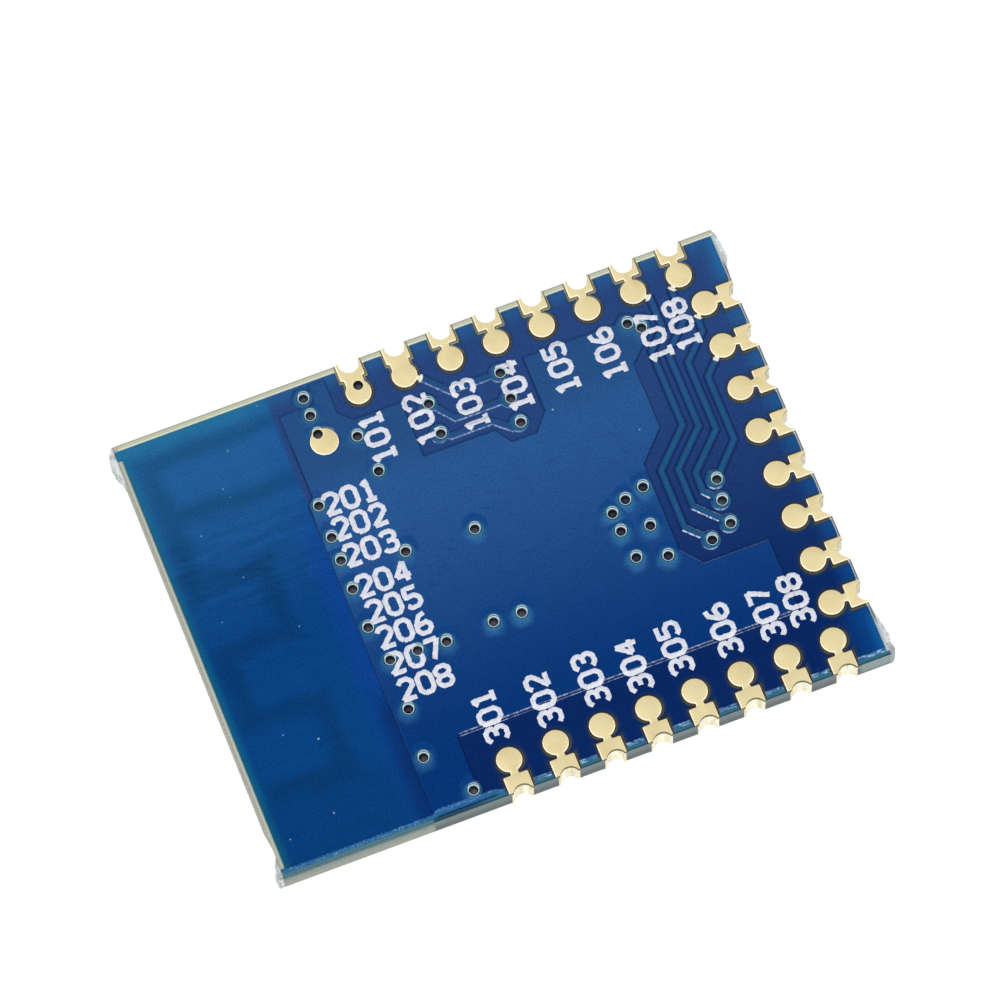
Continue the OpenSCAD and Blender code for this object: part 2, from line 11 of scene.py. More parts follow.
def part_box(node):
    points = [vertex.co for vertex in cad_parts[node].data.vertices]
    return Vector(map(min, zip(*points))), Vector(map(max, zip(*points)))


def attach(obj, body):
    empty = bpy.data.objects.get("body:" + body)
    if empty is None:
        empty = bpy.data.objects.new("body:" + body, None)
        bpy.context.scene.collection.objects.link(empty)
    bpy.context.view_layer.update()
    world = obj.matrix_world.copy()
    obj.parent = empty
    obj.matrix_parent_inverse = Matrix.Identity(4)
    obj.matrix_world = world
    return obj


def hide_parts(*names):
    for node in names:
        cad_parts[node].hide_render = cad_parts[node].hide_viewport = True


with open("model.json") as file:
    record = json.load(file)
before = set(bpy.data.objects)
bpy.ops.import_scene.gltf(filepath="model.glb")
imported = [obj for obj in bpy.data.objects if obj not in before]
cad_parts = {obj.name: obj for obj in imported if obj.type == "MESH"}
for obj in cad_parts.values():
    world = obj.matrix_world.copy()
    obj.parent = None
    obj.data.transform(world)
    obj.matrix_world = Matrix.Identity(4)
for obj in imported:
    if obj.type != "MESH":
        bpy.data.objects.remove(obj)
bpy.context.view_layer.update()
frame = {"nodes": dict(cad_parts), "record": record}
nodes = frame["nodes"]
mm = 0.001  # the frame is in metres, and every size below is in millimetres
weld = 0.0004  # corners of a mesh this close are one
hair = 0.001  # levels this close are the same
sharpAngle, smoothAngle = math.radians(50), math.radians(35)
chance = random.Random(41)
print("frame loaded:", len(nodes), "nodes")


# selecting and shaping

def workOn(piece):
    if bpy.context.object and bpy.context.mode != "OBJECT":
        bpy.ops.object.mode_set(mode="OBJECT")
    bpy.ops.object.select_all(action="DESELECT")
    piece.select_set(True)
    bpy.context.view_layer.objects.active = piece


def editAll(piece):
    workOn(piece)
    bpy.ops.object.mode_set(mode="EDIT")
    bpy.ops.mesh.select_all(action="SELECT")


def leaveEdit():
    bpy.ops.object.mode_set(mode="OBJECT")


def pick(piece, kind, wanted):  # edit mode, with only the edges or faces selected that the test wants
    workOn(piece)
    bpy.ops.object.mode_set(mode="EDIT")
    bpy.ops.mesh.select_mode(type=kind)
    bpy.ops.mesh.select_all(action="DESELECT")
    shape = bmesh.from_edit_mesh(piece.data)
    for part in shape.edges if kind == "EDGE" else shape.faces:
        if wanted(part):
            part.select_set(True)
    bmesh.update_edit_mesh(piece.data)


def bevelEdges(piece, wanted, width, segments):
    pick(piece, "EDGE", wanted)
    bpy.ops.mesh.bevel(offset=width, segments=segments, profile=0.5, affect="EDGES", clamp_overlap=False)
    leaveEdit()


def addToScene(thing):
    bpy.context.scene.collection.objects.link(thing)


def copyNode(nodeName, pieceName, whole=True, merged=weld):  # a node's mesh as a new piece in millimetres
    piece = bpy.data.objects.new(pieceName, nodes[nodeName].data.copy())
    addToScene(piece)
    piece.data.materials.clear()
    piece.data.transform(Matrix.Scale(1 / mm, 4))
    workOn(piece)
    bpy.ops.mesh.customdata_custom_splitnormals_clear()
    editAll(piece)
    bpy.ops.mesh.remove_doubles(threshold=merged)
    if whole:  # flat faces become one each
        bpy.ops.mesh.dissolve_limited(angle_limit=math.radians(1))
    leaveEdit()
    return piece


def sharp(edge):
    return len(edge.link_faces) == 2 and edge.calc_face_angle(0) > sharpAngle


def roomBeside(edge, least):  # whether the edges that meet it are long enough to bevel it
    return all(e.calc_length() > least for v in edge.verts for e in v.link_edges if e is not edge)


def middleOf(edge):
    return (edge.verts[0].co + edge.verts[1].co) / 2


def newMarks(piece, kind, *names):  # numbers that the mesh keeps on each face or point
    for name in names:
        piece.data.attributes.new(name, "FLOAT", kind)
    return [piece.data.attributes[name].data for name in names]


def finishPiece(piece, finishes, slotName=None, replaced=()):  # back to metres, smooth and painted
    piece.data.transform(Matrix.Scale(mm, 4))
    for finish in finishes:
        piece.data.materials.append(finish)
    workOn(piece)
    bpy.ops.object.shade_smooth_by_angle(angle=smoothAngle)
    even = piece.modifiers.new("even_normals", "WEIGHTED_NORMAL")
    even.keep_sharp = True
    even.weight = 100
    bpy.ops.object.modifier_apply(modifier=even.name)
    if replaced:
        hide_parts(*replaced)
    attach(piece, "root")


def treeOf(data, scale=1.0):  # for the nearest point or the first hit on a mesh
    return BVHTree.FromPolygons([v.co * scale for v in data.vertices], [p.vertices for p in data.polygons])


# shader wires

class Wire:
    # an output socket: arithmetic on wires adds Math nodes
    def __init__(self, tree, socket):
        self.tree = tree
        self.socket = socket

    def node(self, kind, settings=None, sockets=None, output=0):
        made = self.tree.nodes.new(kind)
        for name, value in (settings or {}).items():
            setattr(made, name, value)
        for place, value in (sockets or {}).items():
            if isinstance(value, Wire):
                self.tree.links.new(value.socket, made.inputs[place])
            else:
                made.inputs[place].default_value = value
        return Wire(self.tree, made.outputs[output])

    def math(self, operation, first, second=0.0):
        return self.node("ShaderNodeMath", {"operation": operation}, {0: first, 1: second})

    def vector(self, operation, other, output=0):
        return self.node("ShaderNodeVectorMath", {"operation": operation}, {0: self, 1: other}, output)

    def __add__(self, other):
        return self.math("ADD", self, other)

    def __radd__(self, other):
        return self.math("ADD", other, self)

    def __sub__(self, other):
        return self.math("SUBTRACT", self, other)

    def __rsub__(self, other):
        return self.math("SUBTRACT", other, self)

    def __mul__(self, other):
        return self.math("MULTIPLY", self, other)

    def __rmul__(self, other):
        return self.math("MULTIPLY", other, self)

    def least(self, other):
        return self.math("MINIMUM", self, other)

    def most(self, other):
        return self.math("MAXIMUM", self, other)

    def ramp(self, low, high):  # 0 at low and 1 at high, with soft ends
        soft = {"interpolation_type": "SMOOTHSTEP"}
        return self.node("ShaderNodeMapRange", soft, {0: self, 1: low, 2: high})

    def band(self, middle, half, soft):  # 1 near the middle, 0 outside
        return 1 - (self - middle).size().ramp(half, half + soft)

    def size(self):
        return self.math("ABSOLUTE", self)

    def root(self):
        return self.math("SQRT", self)

    def wrapped(self, low, high):  # starts again at low when it passes high
        return self.node("ShaderNodeMath", {"operation": "WRAP"}, {0: self, 1: high, 2: low})

    def tint(self, first, second):  # the first colour at 0, the second at 1
        return self.node("ShaderNodeMix", {"data_type": "RGBA"}, {0: self, 6: first, 7: second}, 2)

    def laid(self, tints, **shares):  # one colour after another laid over this one, each with its share
        colour = self
        for name, share in shares.items():
            colour = share.tint(colour, tints[name])
        return colour

    def axes(self):
        split = self.node("ShaderNodeSeparateXYZ", None, {0: self})
        return [Wire(self.tree, out) for out in split.socket.node.outputs]

    def joined(self, x, y, z):
        return self.node("ShaderNodeCombineXYZ", None, {0: x, 1: y, 2: z})

    def stretched(self, factors):
        return self.vector("MULTIPLY", factors)

    def minus(self, point):
        return self.vector("SUBTRACT", point)

    def farFrom(self, point):
        return self.vector("DISTANCE", point, 1)

    def along(self, way):  # the part of a vector along a direction
        return self.vector("DOT_PRODUCT", way, 1)

    def length(self):
        return self.node("ShaderNodeVectorMath", {"operation": "LENGTH"}, {0: self}, 1)

    def grain(self, scale, detail=2.0, rough=0.5):
        levels = {"Vector": self, "Scale": scale, "Detail": detail, "Roughness": rough}
        return self.node("ShaderNodeTexNoise", None, levels)

    def mark(self, name, output=2):  # a number kept on the mesh, or a vector with output 1
        return self.node("ShaderNodeAttribute", {"attribute_name": name}, None, output)

    def shaded(self, share):  # the colour times a share
        blend = {"data_type": "RGBA", "blend_type": "MULTIPLY"}
        return self.node("ShaderNodeMix", blend, {0: 1.0, 6: self, 7: self.joined(share, share, share)}, 2)

    def bump(self, depth, strength=1.0):  # depth in millimetres
        levels = {"Strength": strength, "Distance": depth * mm, "Height": self}
        return self.node("ShaderNodeBump", None, levels)


def paint(red, green, blue):  # a colour as seen on a screen, from 0 to 255, as linear light
    def linear(level):
        share = level / 255
        return share / 12.92 if share < 0.04 else ((share + 0.055) / 1.055) ** 2.4
    return (linear(red), linear(green), linear(blue), 1.0)


def paints(colours):
    return {name: paint(*levels) for name, levels in colours.items()}


def newFinish(name, **levels):  # a material, its shader and a wire with the place in millimetres
    finish = bpy.data.materials.new(name)
    finish.use_nodes = True
    tree = finish.node_tree
    shader = tree.nodes["Principled BSDF"]
    for socketName, level in levels.items():
        shader.inputs[socketName.replace("_", " ")].default_value = level
    start = Wire(tree, shader.outputs[0])
    where = start.node("ShaderNodeTexCoord", None, None, 3)
    return finish, shader, where.stretched((1 / mm, 1 / mm, 1 / mm))


def feed(shader, **wires):
    for socketName, wire in wires.items():
        wire.tree.links.new(wire.socket, shader.inputs[socketName.replace("_", " ")])


# places that the other pieces are set out from

def islandCentres(nodeName):  # the middle of each separate solid of a node, seen from above
    shape = bmesh.new()
    shape.from_mesh(nodes[nodeName].data)
    bmesh.ops.remove_doubles(shape, verts=shape.verts, dist=weld * mm)
    waiting = set(shape.verts)
    centres = []
    while waiting:
        island, front = set(), [waiting.pop()]
        while front:
            vertex = front.pop()
            island.add(vertex)
            for link in vertex.link_edges:
                other = link.other_vert(vertex)
                if other in waiting:
                    waiting.discard(other)
                    front.append(other)
        xs = [v.co.x / mm for v in island]
        ys = [v.co.y / mm for v in island]
        centres.append(((min(xs) + max(xs)) / 2, (min(ys) + max(ys)) / 2))
    shape.free()
    return sorted(centres)


viaCentres = islandCentres("via_barrels")
boardLow, boardHigh = (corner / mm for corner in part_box("board"))
maskLow, maskHigh = (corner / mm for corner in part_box("solder_side_mask"))
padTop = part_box("pad_12")[1].z / mm
laminateTop = boardHigh.z
bareMaskTop = laminateTop + (maskHigh.z - padTop)
endX = boardHigh.x - 0.2  # the board's ends, from which the torn stubs stand out
antennaX = -5.0  # the copper ends here, and the bare end with the antenna begins
flatFace, wallFace = 0.985, 0.3  # upward normals over the first are flat, under the second upright
pictureDown = Vector((-0.356, -0.935))  # the ways on the board that point down in the picture
pictureLee = Vector((0.409, -0.912))  # and to the lower right
padPlan = {
    "pitch": 1.5, "first": -2.15, "last": 8.35, "row": 6.4, "column": 8.75, "end": 5.25,
    "land": 0.4, "tabHalf": 0.395, "tabStart": 0.5, "neck": 0.125, "wideNeck": 0.3,
    "filled": 0.29,  # half width of a neck with its corners filled
    "testPad": (-3.7, 5.25, 0), "testRadius": 0.45,
    "lining": 0.21,  # outer radius of a via's lining
}
print("places:", len(viaCentres), "via holes, pads at", round(padTop, 3))


def padGap(x, y, filled=0.0):  # how far a place is outside the nearest edge pad, its neck as wide as filled
    half = padPlan["pitch"] / 2
    middle = (padPlan["first"] + padPlan["last"]) / 2

    def outline(along, out, neck):
        land = (along * along + out * out).root() - padPlan["land"]
        tab = (along.size() - padPlan["tabHalf"]).most(padPlan["tabStart"] - out)
        joint = (along.size() - neck).most((out - padPlan["land"]).size() - padPlan["land"])
        return land.least(tab).least(joint)

    def past(way, reach):  # far off beyond the ends of a row
        return 9 * way.size().ramp(reach, reach + 0.02)

    wide = (1 - x.ramp(0, 0.2)) * y.ramp(0, 0.2)  # the first two pads of the upper row
    slim = max(padPlan["neck"], filled)
    neck = slim + (padPlan["wideNeck"] - slim) * wide
    rows = outline((x - padPlan["first"]).wrapped(-half, half), y.size() - padPlan["row"], neck)
    rows = rows + past(x - middle, padPlan["last"] - middle + half)
    column = outline((y - padPlan["end"]).wrapped(-half, half), x - padPlan["column"], slim)
    return rows.least(column + past(y, padPlan["end"] + half))


def padLee(x, y, gap):  # 1 at the lower right side of a pad in the picture, -1 at its upper left
    step = 0.06
    return (padGap(x + pictureLee.x * step, y + pictureLee.y * step) - gap) * (1 / step)


def fromVia(flat):  # the way from the nearest via hole to a place
    best = near = None
    for cx, cy in viaCentres:
        way = flat.minus((cx, cy, 0))
        gap = way.length()
        if best is None:
            best, near = way, gap
        else:
            closer = gap.math("LESS_THAN", gap, near)
            best = closer.node("ShaderNodeMix", {"data_type": "VECTOR"}, {0: closer, 4: best, 5: way}, 1)
            near = gap.least(near)
    return best


def viaWay(place):  # how far a place is from the nearest via hole's middle
    return min(math.dist(place.xy, via) for via in viaCentres)


def viaArcs(colour, way, tints):  # painted glints: the thin bright arc round a via hole, and the duller one in it
    arc = way.farFrom((0.021, 0.056, 0))
    colour = arc.ramp(0.184, 0.169).tint(colour, tints["ring"])
    return colour.laid(tints, inside=arc.ramp(0.16, 0.145))


# camera and light

camera = {"aim": (0.596, 1.508, 1.8), "azimuth": -18.134, "elevation": 68.985, "roll": -3.117,
          "distance": 320.55, "lens": 379.56}
lamps = {  # place and size in millimetres, strength in watts
    "left_softbox": {"at": (-260, 60, 260), "size": (260, 260), "power": 1.05},
    "right_softbox": {"at": (280, -60, 240), "size": (240, 240), "power": 0.75},
    "front_strip": {"at": (-60, -330, 130), "size": (260, 40), "power": 0.9},
    "back_sheen": {"at": (20, 150, 190), "size": (90, 60), "power": 0.04},
}
stageLook = {
    "world": 0.1,
    "floor": 6,  # metres
    "below": 0.01,  # just clear of the faces that rest on it
    "grey": (0.94, 0.94, 0.94, 1),
}
white = (1, 1, 1, 1)


def placeCamera():
    turn, tilt = math.radians(camera["azimuth"]), math.radians(camera["elevation"])
    back = Vector((math.sin(turn) * math.cos(tilt), -math.cos(turn) * math.cos(tilt), math.sin(tilt)))
    data = bpy.data.cameras.new("photo_camera")
    data.lens = camera["lens"]
    data.clip_start, data.clip_end = 0.01, 20
    eye = bpy.data.objects.new("photo_camera", data)
    addToScene(eye)
    eye.rotation_mode = "QUATERNION"
    eye.location = (Vector(camera["aim"]) + back * camera["distance"]) * mm
    level = (-back).to_track_quat("-Z", "Y")
    eye.rotation_quaternion = level @ Quaternion((0, 0, 1), math.radians(camera["roll"]))
    bpy.context.scene.camera = eye


def placeLamps():
    for name, lamp in lamps.items():
        data = bpy.data.lights.new(name, "AREA")
        data.shape = "RECTANGLE"
        data.size, data.size_y = (side * mm for side in lamp["size"])
        data.energy = lamp["power"]
        holder = bpy.data.objects.new(name, data)
        addToScene(holder)
        holder.location = Vector(lamp["at"]) * mm
        holder.rotation_euler = (-holder.location).to_track_quat("-Z", "Y").to_euler()


def setStage():
    world = bpy.data.worlds.new("studio")
    world.use_nodes = True
    world.node_tree.nodes["Background"].inputs[0].default_value = white
    world.node_tree.nodes["Background"].inputs[1].default_value = stageLook["world"]
    bpy.context.scene.world = world
    bpy.ops.mesh.primitive_plane_add(size=stageLook["floor"], location=(0, 0, -stageLook["below"] * mm))
    floor = bpy.context.object
    floor.name = "studio_floor"
    finish, shader, where = newFinish("pale_floor", Roughness=0.9, Specular_IOR_Level=0.1)
    shader.inputs["Base Color"].default_value = stageLook["grey"]
    seen = where.node("ShaderNodeLightPath")
    light = where.node("ShaderNodeEmission", None, {0: white, 1: 1.0})
    rays = [Wire(where.tree, out) for out in seen.socket.node.outputs]
    share = (rays[0] + rays[3] + rays[6]).least(1.0)  # camera, glossy and transmission rays
    matt = Wire(where.tree, shader.outputs[0])
    both = where.node("ShaderNodeMixShader", None, {0: share, 1: matt, 2: light})
    where.tree.links.new(both.socket, where.tree.nodes["Material Output"].inputs[0])
    floor.data.materials.append(finish)


placeCamera()
placeLamps()
setStage()
bpy.context.scene.view_settings.view_transform = "Standard"
print("camera, lamps and floor placed")


# solder mask of the solder side

maskLook = {
    "filmOverCopper": 0.018,  # the numbers' ink fills up the rest of the film's height
    "flank": 0.036,  # width of the slope where copper lifts the film
    "rim": 0.012,  # rounding at the openings
    "corner": 0.05,  # rounding of the openings' corners, seen from above
    "merged": 0.012,  # corners of tiny steps become one
    "hole": 0.23,  # edges nearer to a via's middle are its hole's
    "notch": (-3.85, 6.5), "notchReach": 0.16,  # where the upper left ring meets the pour
    "zones": {  # each at the lower and the upper side, the upper one lighter with a painted sheen
        "pour": ((0, 47, 108), (38, 83, 139)),
        "trace": ((24, 72, 117), (33, 72, 122)),
        "bare": ((2, 34, 90), (34, 64, 117)),
        "antenna": ((1, 60, 119), (31, 89, 144)),
        "edge": ((4, 66, 132), (34, 88, 140)),  # painted light beside the board's edges, where light comes through
        "ghost": ((2, 44, 84), (10, 66, 98)),  # over the antenna of the other side
    },
    # most of these paint light and shade on the film: edge light, glints, highlights, glow and shade round
    # the pads, traces and vias; the dust colour also paints glints
    "colours": {
        "cyan": (24, 112, 170), "teal": (16, 100, 122), "violet": (8, 58, 140), "upperEdge": (34, 110, 148),
        "olive": (38, 54, 68), "brown": (50, 42, 34), "stub": (238, 234, 220), "foot": (14, 32, 84),
        "ridge": (38, 92, 132), "cap": (4, 58, 120), "glow": (46, 102, 150), "green": (56, 118, 120),
        "ring": (166, 188, 198), "inside": (108, 132, 146), "shade": (10, 36, 82),
        "sparkle": (212, 222, 238), "lowEdge": (40, 106, 156), "speckle": (176, 208, 224),
    },
    "dust": [  # place and radius of each speck
        (-6.55, 6.05, 0.035), (-7.26, -3.68, 0.05), (-7.67, -6.06, 0.05), (3.15, 3.67, 0.05),
        (5.38, 2.09, 0.04), (-6.53, -0.08, 0.035), (-8.66, 0.89, 0.025), (-7.55, 2.02, 0.025),
        (-8.22, -3.18, 0.03), (-9.19, -6.37, 0.025), (-5.2, 7.1, 0.03), (-8.27, 3.74, 0.025),
        (-7.01, 4.6, 0.025), (-7.12, 4.93, 0.025),
    ],
}
maskTint = paints(maskLook["colours"])
copperFilmTop = padTop + maskLook["filmOverCopper"]
antennaPath = [  # the antenna's track on the other side
    (-4.9, 6.5), (-9.0, 6.5), (-9.0, 4.5), (-4.9, 4.5), (-9.0, 4.5), (-9.0, 2.16), (-6.8, 2.16),
    (-6.8, -0.18), (-9.0, -0.18), (-9.0, -2.51), (-6.8, -2.51), (-6.8, -4.85), (-9.0, -4.85),
]
bundlePaths = [  # the middle lines of the four traces that run side by side
    [(6.85, 6.4), (7.25, 6.0), (7.25, 4.95), (6.65, 4.35), (6.65, 1.75), (5.5, 0.6), (5.5, -1.4),
     (6.13, -2.05)],
    [(8.35, 6.4), (7.95, 6.0), (7.95, 4.95), (7.1, 4.1), (7.1, 1.55), (6.0, 0.45), (6.0, -0.85),
     (6.85, -1.75)],
    [(8.75, 5.25), (8.35, 4.85), (8.35, 4.4), (7.55, 3.6), (7.55, 1.25), (6.45, 0.15), (6.45, -0.5),
     (6.88, -0.97)],
    [(8.75, 3.75), (7.95, 2.95), (7.95, 0.75), (6.98, -0.27)],
]


def ghostOf(x, y):  # 1 over the antenna's track, from the distance to each straight of it
    near = None
    for (x1, y1), (x2, y2) in zip(antennaPath, antennaPath[1:]):
        across = (x - (x1 + x2) / 2).size() - abs(x2 - x1) / 2
        along = (y - (y1 + y2) / 2).size() - abs(y2 - y1) / 2
        near = across.most(along) if near is None else near.least(across.most(along))
    return 1 - near.ramp(0.0, 0.6)


def fromBundle(flat):  # how far a place is from the nearest middle line of the bundle's traces
    near = None
    for path in bundlePaths:
        for (x1, y1), (x2, y2) in zip(path, path[1:]):
            reach = math.hypot(x2 - x1, y2 - y1)
            ux, uy = (x2 - x1) / reach, (y2 - y1) / reach
            way = flat.minus(((x1 + x2) / 2, (y1 + y2) / 2, 0))
            past = (way.along((ux, uy, 0)).size() - reach / 2).most(0)
            gap = way.joined(past, way.along((-uy, ux, 0)), 0.0).length()
            near = gap if near is None else near.least(gap)
    return near


def zone(name, share):
    low, high = maskLook["zones"][name]
    return share.tint(paint(*low), paint(*high))


def overAntenna(x, y, flat):  # no copper: painted light that comes through, and the antenna of the other side shows
    drift = flat.grain(0.7, 2.0) - 0.5
    far = y.ramp(-0.5, 7.5)
    ghost = ghostOf(x + drift * 0.6, y + drift * 0.7) * 0.5
    colour = ghost.tint(zone("antenna", far), zone("ghost", far))
    ripple = flat.stretched((0.5, 4.0, 0)).grain(1.0, 3.0, 0.6) - 0.5
    colour = colour.shaded(1 + ripple * (0.25 + y.band(2.3, 0.9, 0.9) * 0.6))
    # painted light that comes in at the left and upper edges
    edge = (x - maskLow.x - 0.15).least(maskHigh.y - y)
    colour = colour.laid(maskTint, teal=(1 - edge.ramp(0.0, 0.32)) * 0.55)
    colour = colour.shaded(1 - 0.14 * (1 - y.ramp(-5.6, -4.4)))
    margin = x.ramp(-5.9, -5.1) * (0.5 - 0.35 * y.ramp(1.5, 4.0))  # next to the copper
    # painted light along the upper edge, and violet next to the copper
    colour = colour.laid(maskTint, upperEdge=(maskHigh.y - y).ramp(0.75, 0.05) * 0.5, violet=margin)
    return colour.shaded(1 - 0.38 * x.ramp(-5.6, -5.05) * y.ramp(-2.6, -3.8))


def besideCopper(x, y, upper):  # laminate under the film, with painted light at the board's edges and cyan near the right corners
    right, top = maskHigh.x - x, maskHigh.y - y
    reach = 0.7 + 0.6 * (1 - y.ramp(-6.2, -5.0))  # light comes in farther at the lower corner
    light = (1 - (right - 0.02).most(0).ramp(0, reach)).most((1 - top.ramp(0.05, 0.65)) * 0.9)
    colour = (light * 0.75).tint(zone("bare", upper), zone("edge", upper))
    return colour.laid(maskTint, cyan=right.ramp(0.35, 0.02) * 0.3 * y.size().ramp(5.6, 6.4))


def besideTraces(colour, flat):  # painted shade in soft dark lines beside the bundle's traces, and a painted highlight along the ridge on them
    gap = fromBundle(flat)
    return colour.laid(maskTint, foot=gap.band(0.125, 0.015, 0.06) * 0.5, ridge=gap.ramp(0.07, 0.02) * 0.3)


def besidePads(colour, x, y, onTrace):  # dark painted shade round the pads, stronger on their lower right; painted shade in brown at their necks; pale where traces end
    gap = padGap(x, y)
    lee = padLee(x, y, gap).ramp(-0.7, 0.7)
    notch = padGap(x, y, padPlan["filled"]).ramp(0.03, -0.02) * (1 - y.ramp(5.5, 5.9))
    return colour.laid(maskTint, olive=gap.ramp(0.2, 0.07) * (0.2 + 0.45 * lee), brown=notch * 0.8,
                       stub=onTrace * gap.ramp(0.19, 0.14))


def roundVias(colour, x, y, flat, waver, lifted, onTrace):  # painted shade in a dark cap above, painted light in a glow below, and thin painted glint arcs
    way = fromVia(flat)
    high = y.ramp(1.5, 4.5)
    cap = (way.farFrom((0.04, 0.11, 0)) + waver).ramp(0.45, 0.34) * lifted * (1 - onTrace)
    glow = (way.farFrom((-0.05, -0.13, 0)) + waver).ramp(0.46, 0.14) * (0.8 - 0.4 * high)
    glow = glow * lifted * (1 - 0.7 * onTrace) * (0.6 + 0.4 * x.ramp(-2.6, -1.6))
    colour = colour.laid(maskTint, cap=cap * (0.65 - 0.35 * high), glow=glow,
                         green=way.length().ramp(0.31, 0.19) * 0.5)
    return viaArcs(colour, way, maskTint)


def onSlopes(colour, where, x, y, broken):  # shade and broken light lines where copper lifts the film
    soft = y.ramp(5.2, 5.8) * (1 - x.ramp(-2.6, -2.2))  # the pour's upper left corner
    weak = x.ramp(-4.6, -4.7) * y.ramp(3.4, 2.2)  # and the lower part of its left border
    shade = where.mark("shade") * (0.7 - 0.45 * soft.most(y.ramp(6.7, 6.9))) * (1 - 0.85 * weak)
    dull = y.ramp(2.8, 3.2) * (1 - x.ramp(3.0, 3.4))  # less light is caught there
    dull = dull.most(1 - y.ramp(-4.6, -4.4))
    away = y.ramp(5.9, 6.1) * (1 - x.ramp(-3.4, -3.2))  # and none there
    away = away.most(1 - y.ramp(-7.1, -7.0))
    sparkle = where.mark("sparkle") * (0.2 + 0.7 * broken) * (1 - 0.55 * dull) * (1 - away)
    second = y.band(-5.165, 0.006, 0.014) * x.ramp(-3.3, -3.2) * (1 - x.ramp(7.5, 7.7))
    colour = colour.laid(maskTint, shade=shade, sparkle=sparkle)
    return colour.laid(maskTint, sparkle=second * (0.1 + 0.35 * broken))


def alongLowerEdge(colour, x, y, flat):  # a painted light band and two broken painted glint lines
    inward = 0.1 * x.ramp(-5.0, -4.7) * x.ramp(-2.6, -3.0)  # they lie farther in before the first pad
    rise = y - maskLow.y - inward
    low = rise.ramp(0.14, 0.06) * rise.ramp(-0.1, -0.04)
    lines = rise.band(0.03, 0.012, 0.025).most(rise.band(0.095, 0.014, 0.03))
    # the painted glint lines, broken into bits and dashes
    glintBits = flat.grain(15.0, 4.0, 0.85).ramp(0.5, 0.64) * 0.75
    dashes = flat.stretched((0.4, 1.0, 0)).grain(12.0, 4.0, 0.8).ramp(0.44, 0.6)
    glintBits = glintBits + (dashes - glintBits) * x.ramp(-2.8, -2.4)
    patches = 0.35 + 0.65 * flat.grain(3.5, 2.0).ramp(0.4, 0.6)
    return colour.laid(maskTint, lowEdge=low * 0.7, speckle=lines * glintBits * patches * 0.85)


def withDust(colour, flat, waver, broken):
    for sx, sy, radius in maskLook["dust"]:
        dot = (flat.farFrom((sx, sy, 0)) + waver * 0.2).ramp(radius, radius * 0.3)
        colour = colour.laid(maskTint, speckle=dot * (0.3 + 0.35 * broken))
    return colour


def maskFinish():
    finish, shader, where = newFinish("solder_mask_blue", Specular_IOR_Level=0.07)
    x, y, z = where.axes()
    flat = where.stretched((1, 1, 0))
    # the share of the painted sheen, more towards the top
    upper = y.ramp(-5.8, 4.8)
    lifted = z.ramp(bareMaskTop + 0.006, copperFilmTop - 0.006)
    onTrace = where.mark("trace")
    waver = flat.grain(3.0, 2.0) * 0.2 - 0.1
    broken = flat.grain(9.0, 3.0, 0.7).ramp(0.42, 0.6)

    atEnd = 1 - x.ramp(antennaX, antennaX + 0.2)
    colour = atEnd.tint(besideCopper(x, y, upper), overAntenna(x, y, flat))
    # the pour with its painted sheen, weaker again towards the top
    colour = lifted.tint(colour, zone("pour", upper).shaded(1 - 0.22 * y.ramp(2.8, 4.6)))
    colour = onTrace.tint(colour, zone("trace", y.ramp(1.0, 4.0)))
    colour = besideTraces(colour, flat)
    colour = besidePads(colour, x, y, onTrace)
    colour = roundVias(colour, x, y, flat, waver, lifted, onTrace)
    colour = onSlopes(colour, where, x, y, broken)
    colour = alongLowerEdge(colour, x, y, flat)
    colour = withDust(colour, flat, waver, broken)

    # dabs across the picture where the sheen ends, and fine grain
    downX, downY = pictureDown
    across, up = y * downX - x * downY, x * -downX - y * downY
    strip = where.joined(across * 1.6, up * 5.0, 0.0)
    dabs = strip.grain(1.0, 4.0, 0.7).ramp(0.52, 0.66) * y.band(0.9, 1.2, 1.6)
    mottle = flat.grain(1.6, 4.0, 0.6)
    fine = flat.grain(16.0, 2.0, 0.9)
    colour = colour.shaded(0.36 + 0.18 * mottle + 1.1 * fine - 0.12 * dabs)
    colour = colour.laid(maskTint, sparkle=(fine - 0.55).most(0) * 0.05)
    peel = flat.grain(3.0, 3.0) * 0.8 + flat.grain(22.0, 2.0) * 0.2
    feed(shader, Base_Color=colour, Roughness=0.28 + 0.12 * mottle, Normal=peel.bump(0.004, 0.4))
    return finish


def markFaces(piece):  # how each slope of the film meets the light, and which faces cover a trace
    sparkles, shades, traces = newMarks(piece, "FACE", "sparkle", "shade", "trace")
    count = round((padPlan["last"] - padPlan["first"]) / padPlan["pitch"]) + 1
    lands = [(padPlan["first"] + i * padPlan["pitch"], padPlan["row"]) for i in range(count)]
    lands += [(padPlan["column"], padPlan["end"] - i * padPlan["pitch"]) for i in range(count)]
    tracks = treeOf(nodes["signal_traces"].data, 1 / mm)
    for face in piece.data.polygons:
        sloped = face.normal.z < flatFace
        turned = Vector(face.normal.xy).normalized().dot(pictureDown) if sloped else 0
        trackWay = tracks.find_nearest(face.center)[3]
        landWay = min(math.dist(face.center.xy, land) for land in lands)
        if landWay < padPlan["land"] + 0.16 and trackWay < 0.06:  # where a trace comes out
            traces[face.index].value = 1
        elif face.center.z < bareMaskTop + 0.003:  # the film's own edge
            shades[face.index].value = 1 if sloped and turned < 0.5 else 0
        elif not sloped:
            corners = [piece.data.vertices[i].co for i in face.vertices]
            if max(tracks.find_nearest(corner)[3] for corner in corners) < 0.08:
                traces[face.index].value = 1
        elif viaWay(face.center) > 0.24:
            far = turned < -0.7 and face.center.y < 1  # slopes that face away there carry a faint light line
            light = 0.3 if far else min(max((turned - 0.72) / 0.18, 0), 1)
            beside = trackWay < 0.2
            if beside and viaWay(face.center) < 0.45:
                light *= 0.6
            elif not beside and -3 < face.center.y < -1.5:  # the pour's border below the bundle
                light *= 0.45
            sparkles[face.index].value = light
            dark = 0 if far or turned > 0.6 else 1 if turned > 0 else 0.6 if turned > -0.6 else 0.3
            shades[face.index].value = dark * (0.4 if beside else 1)


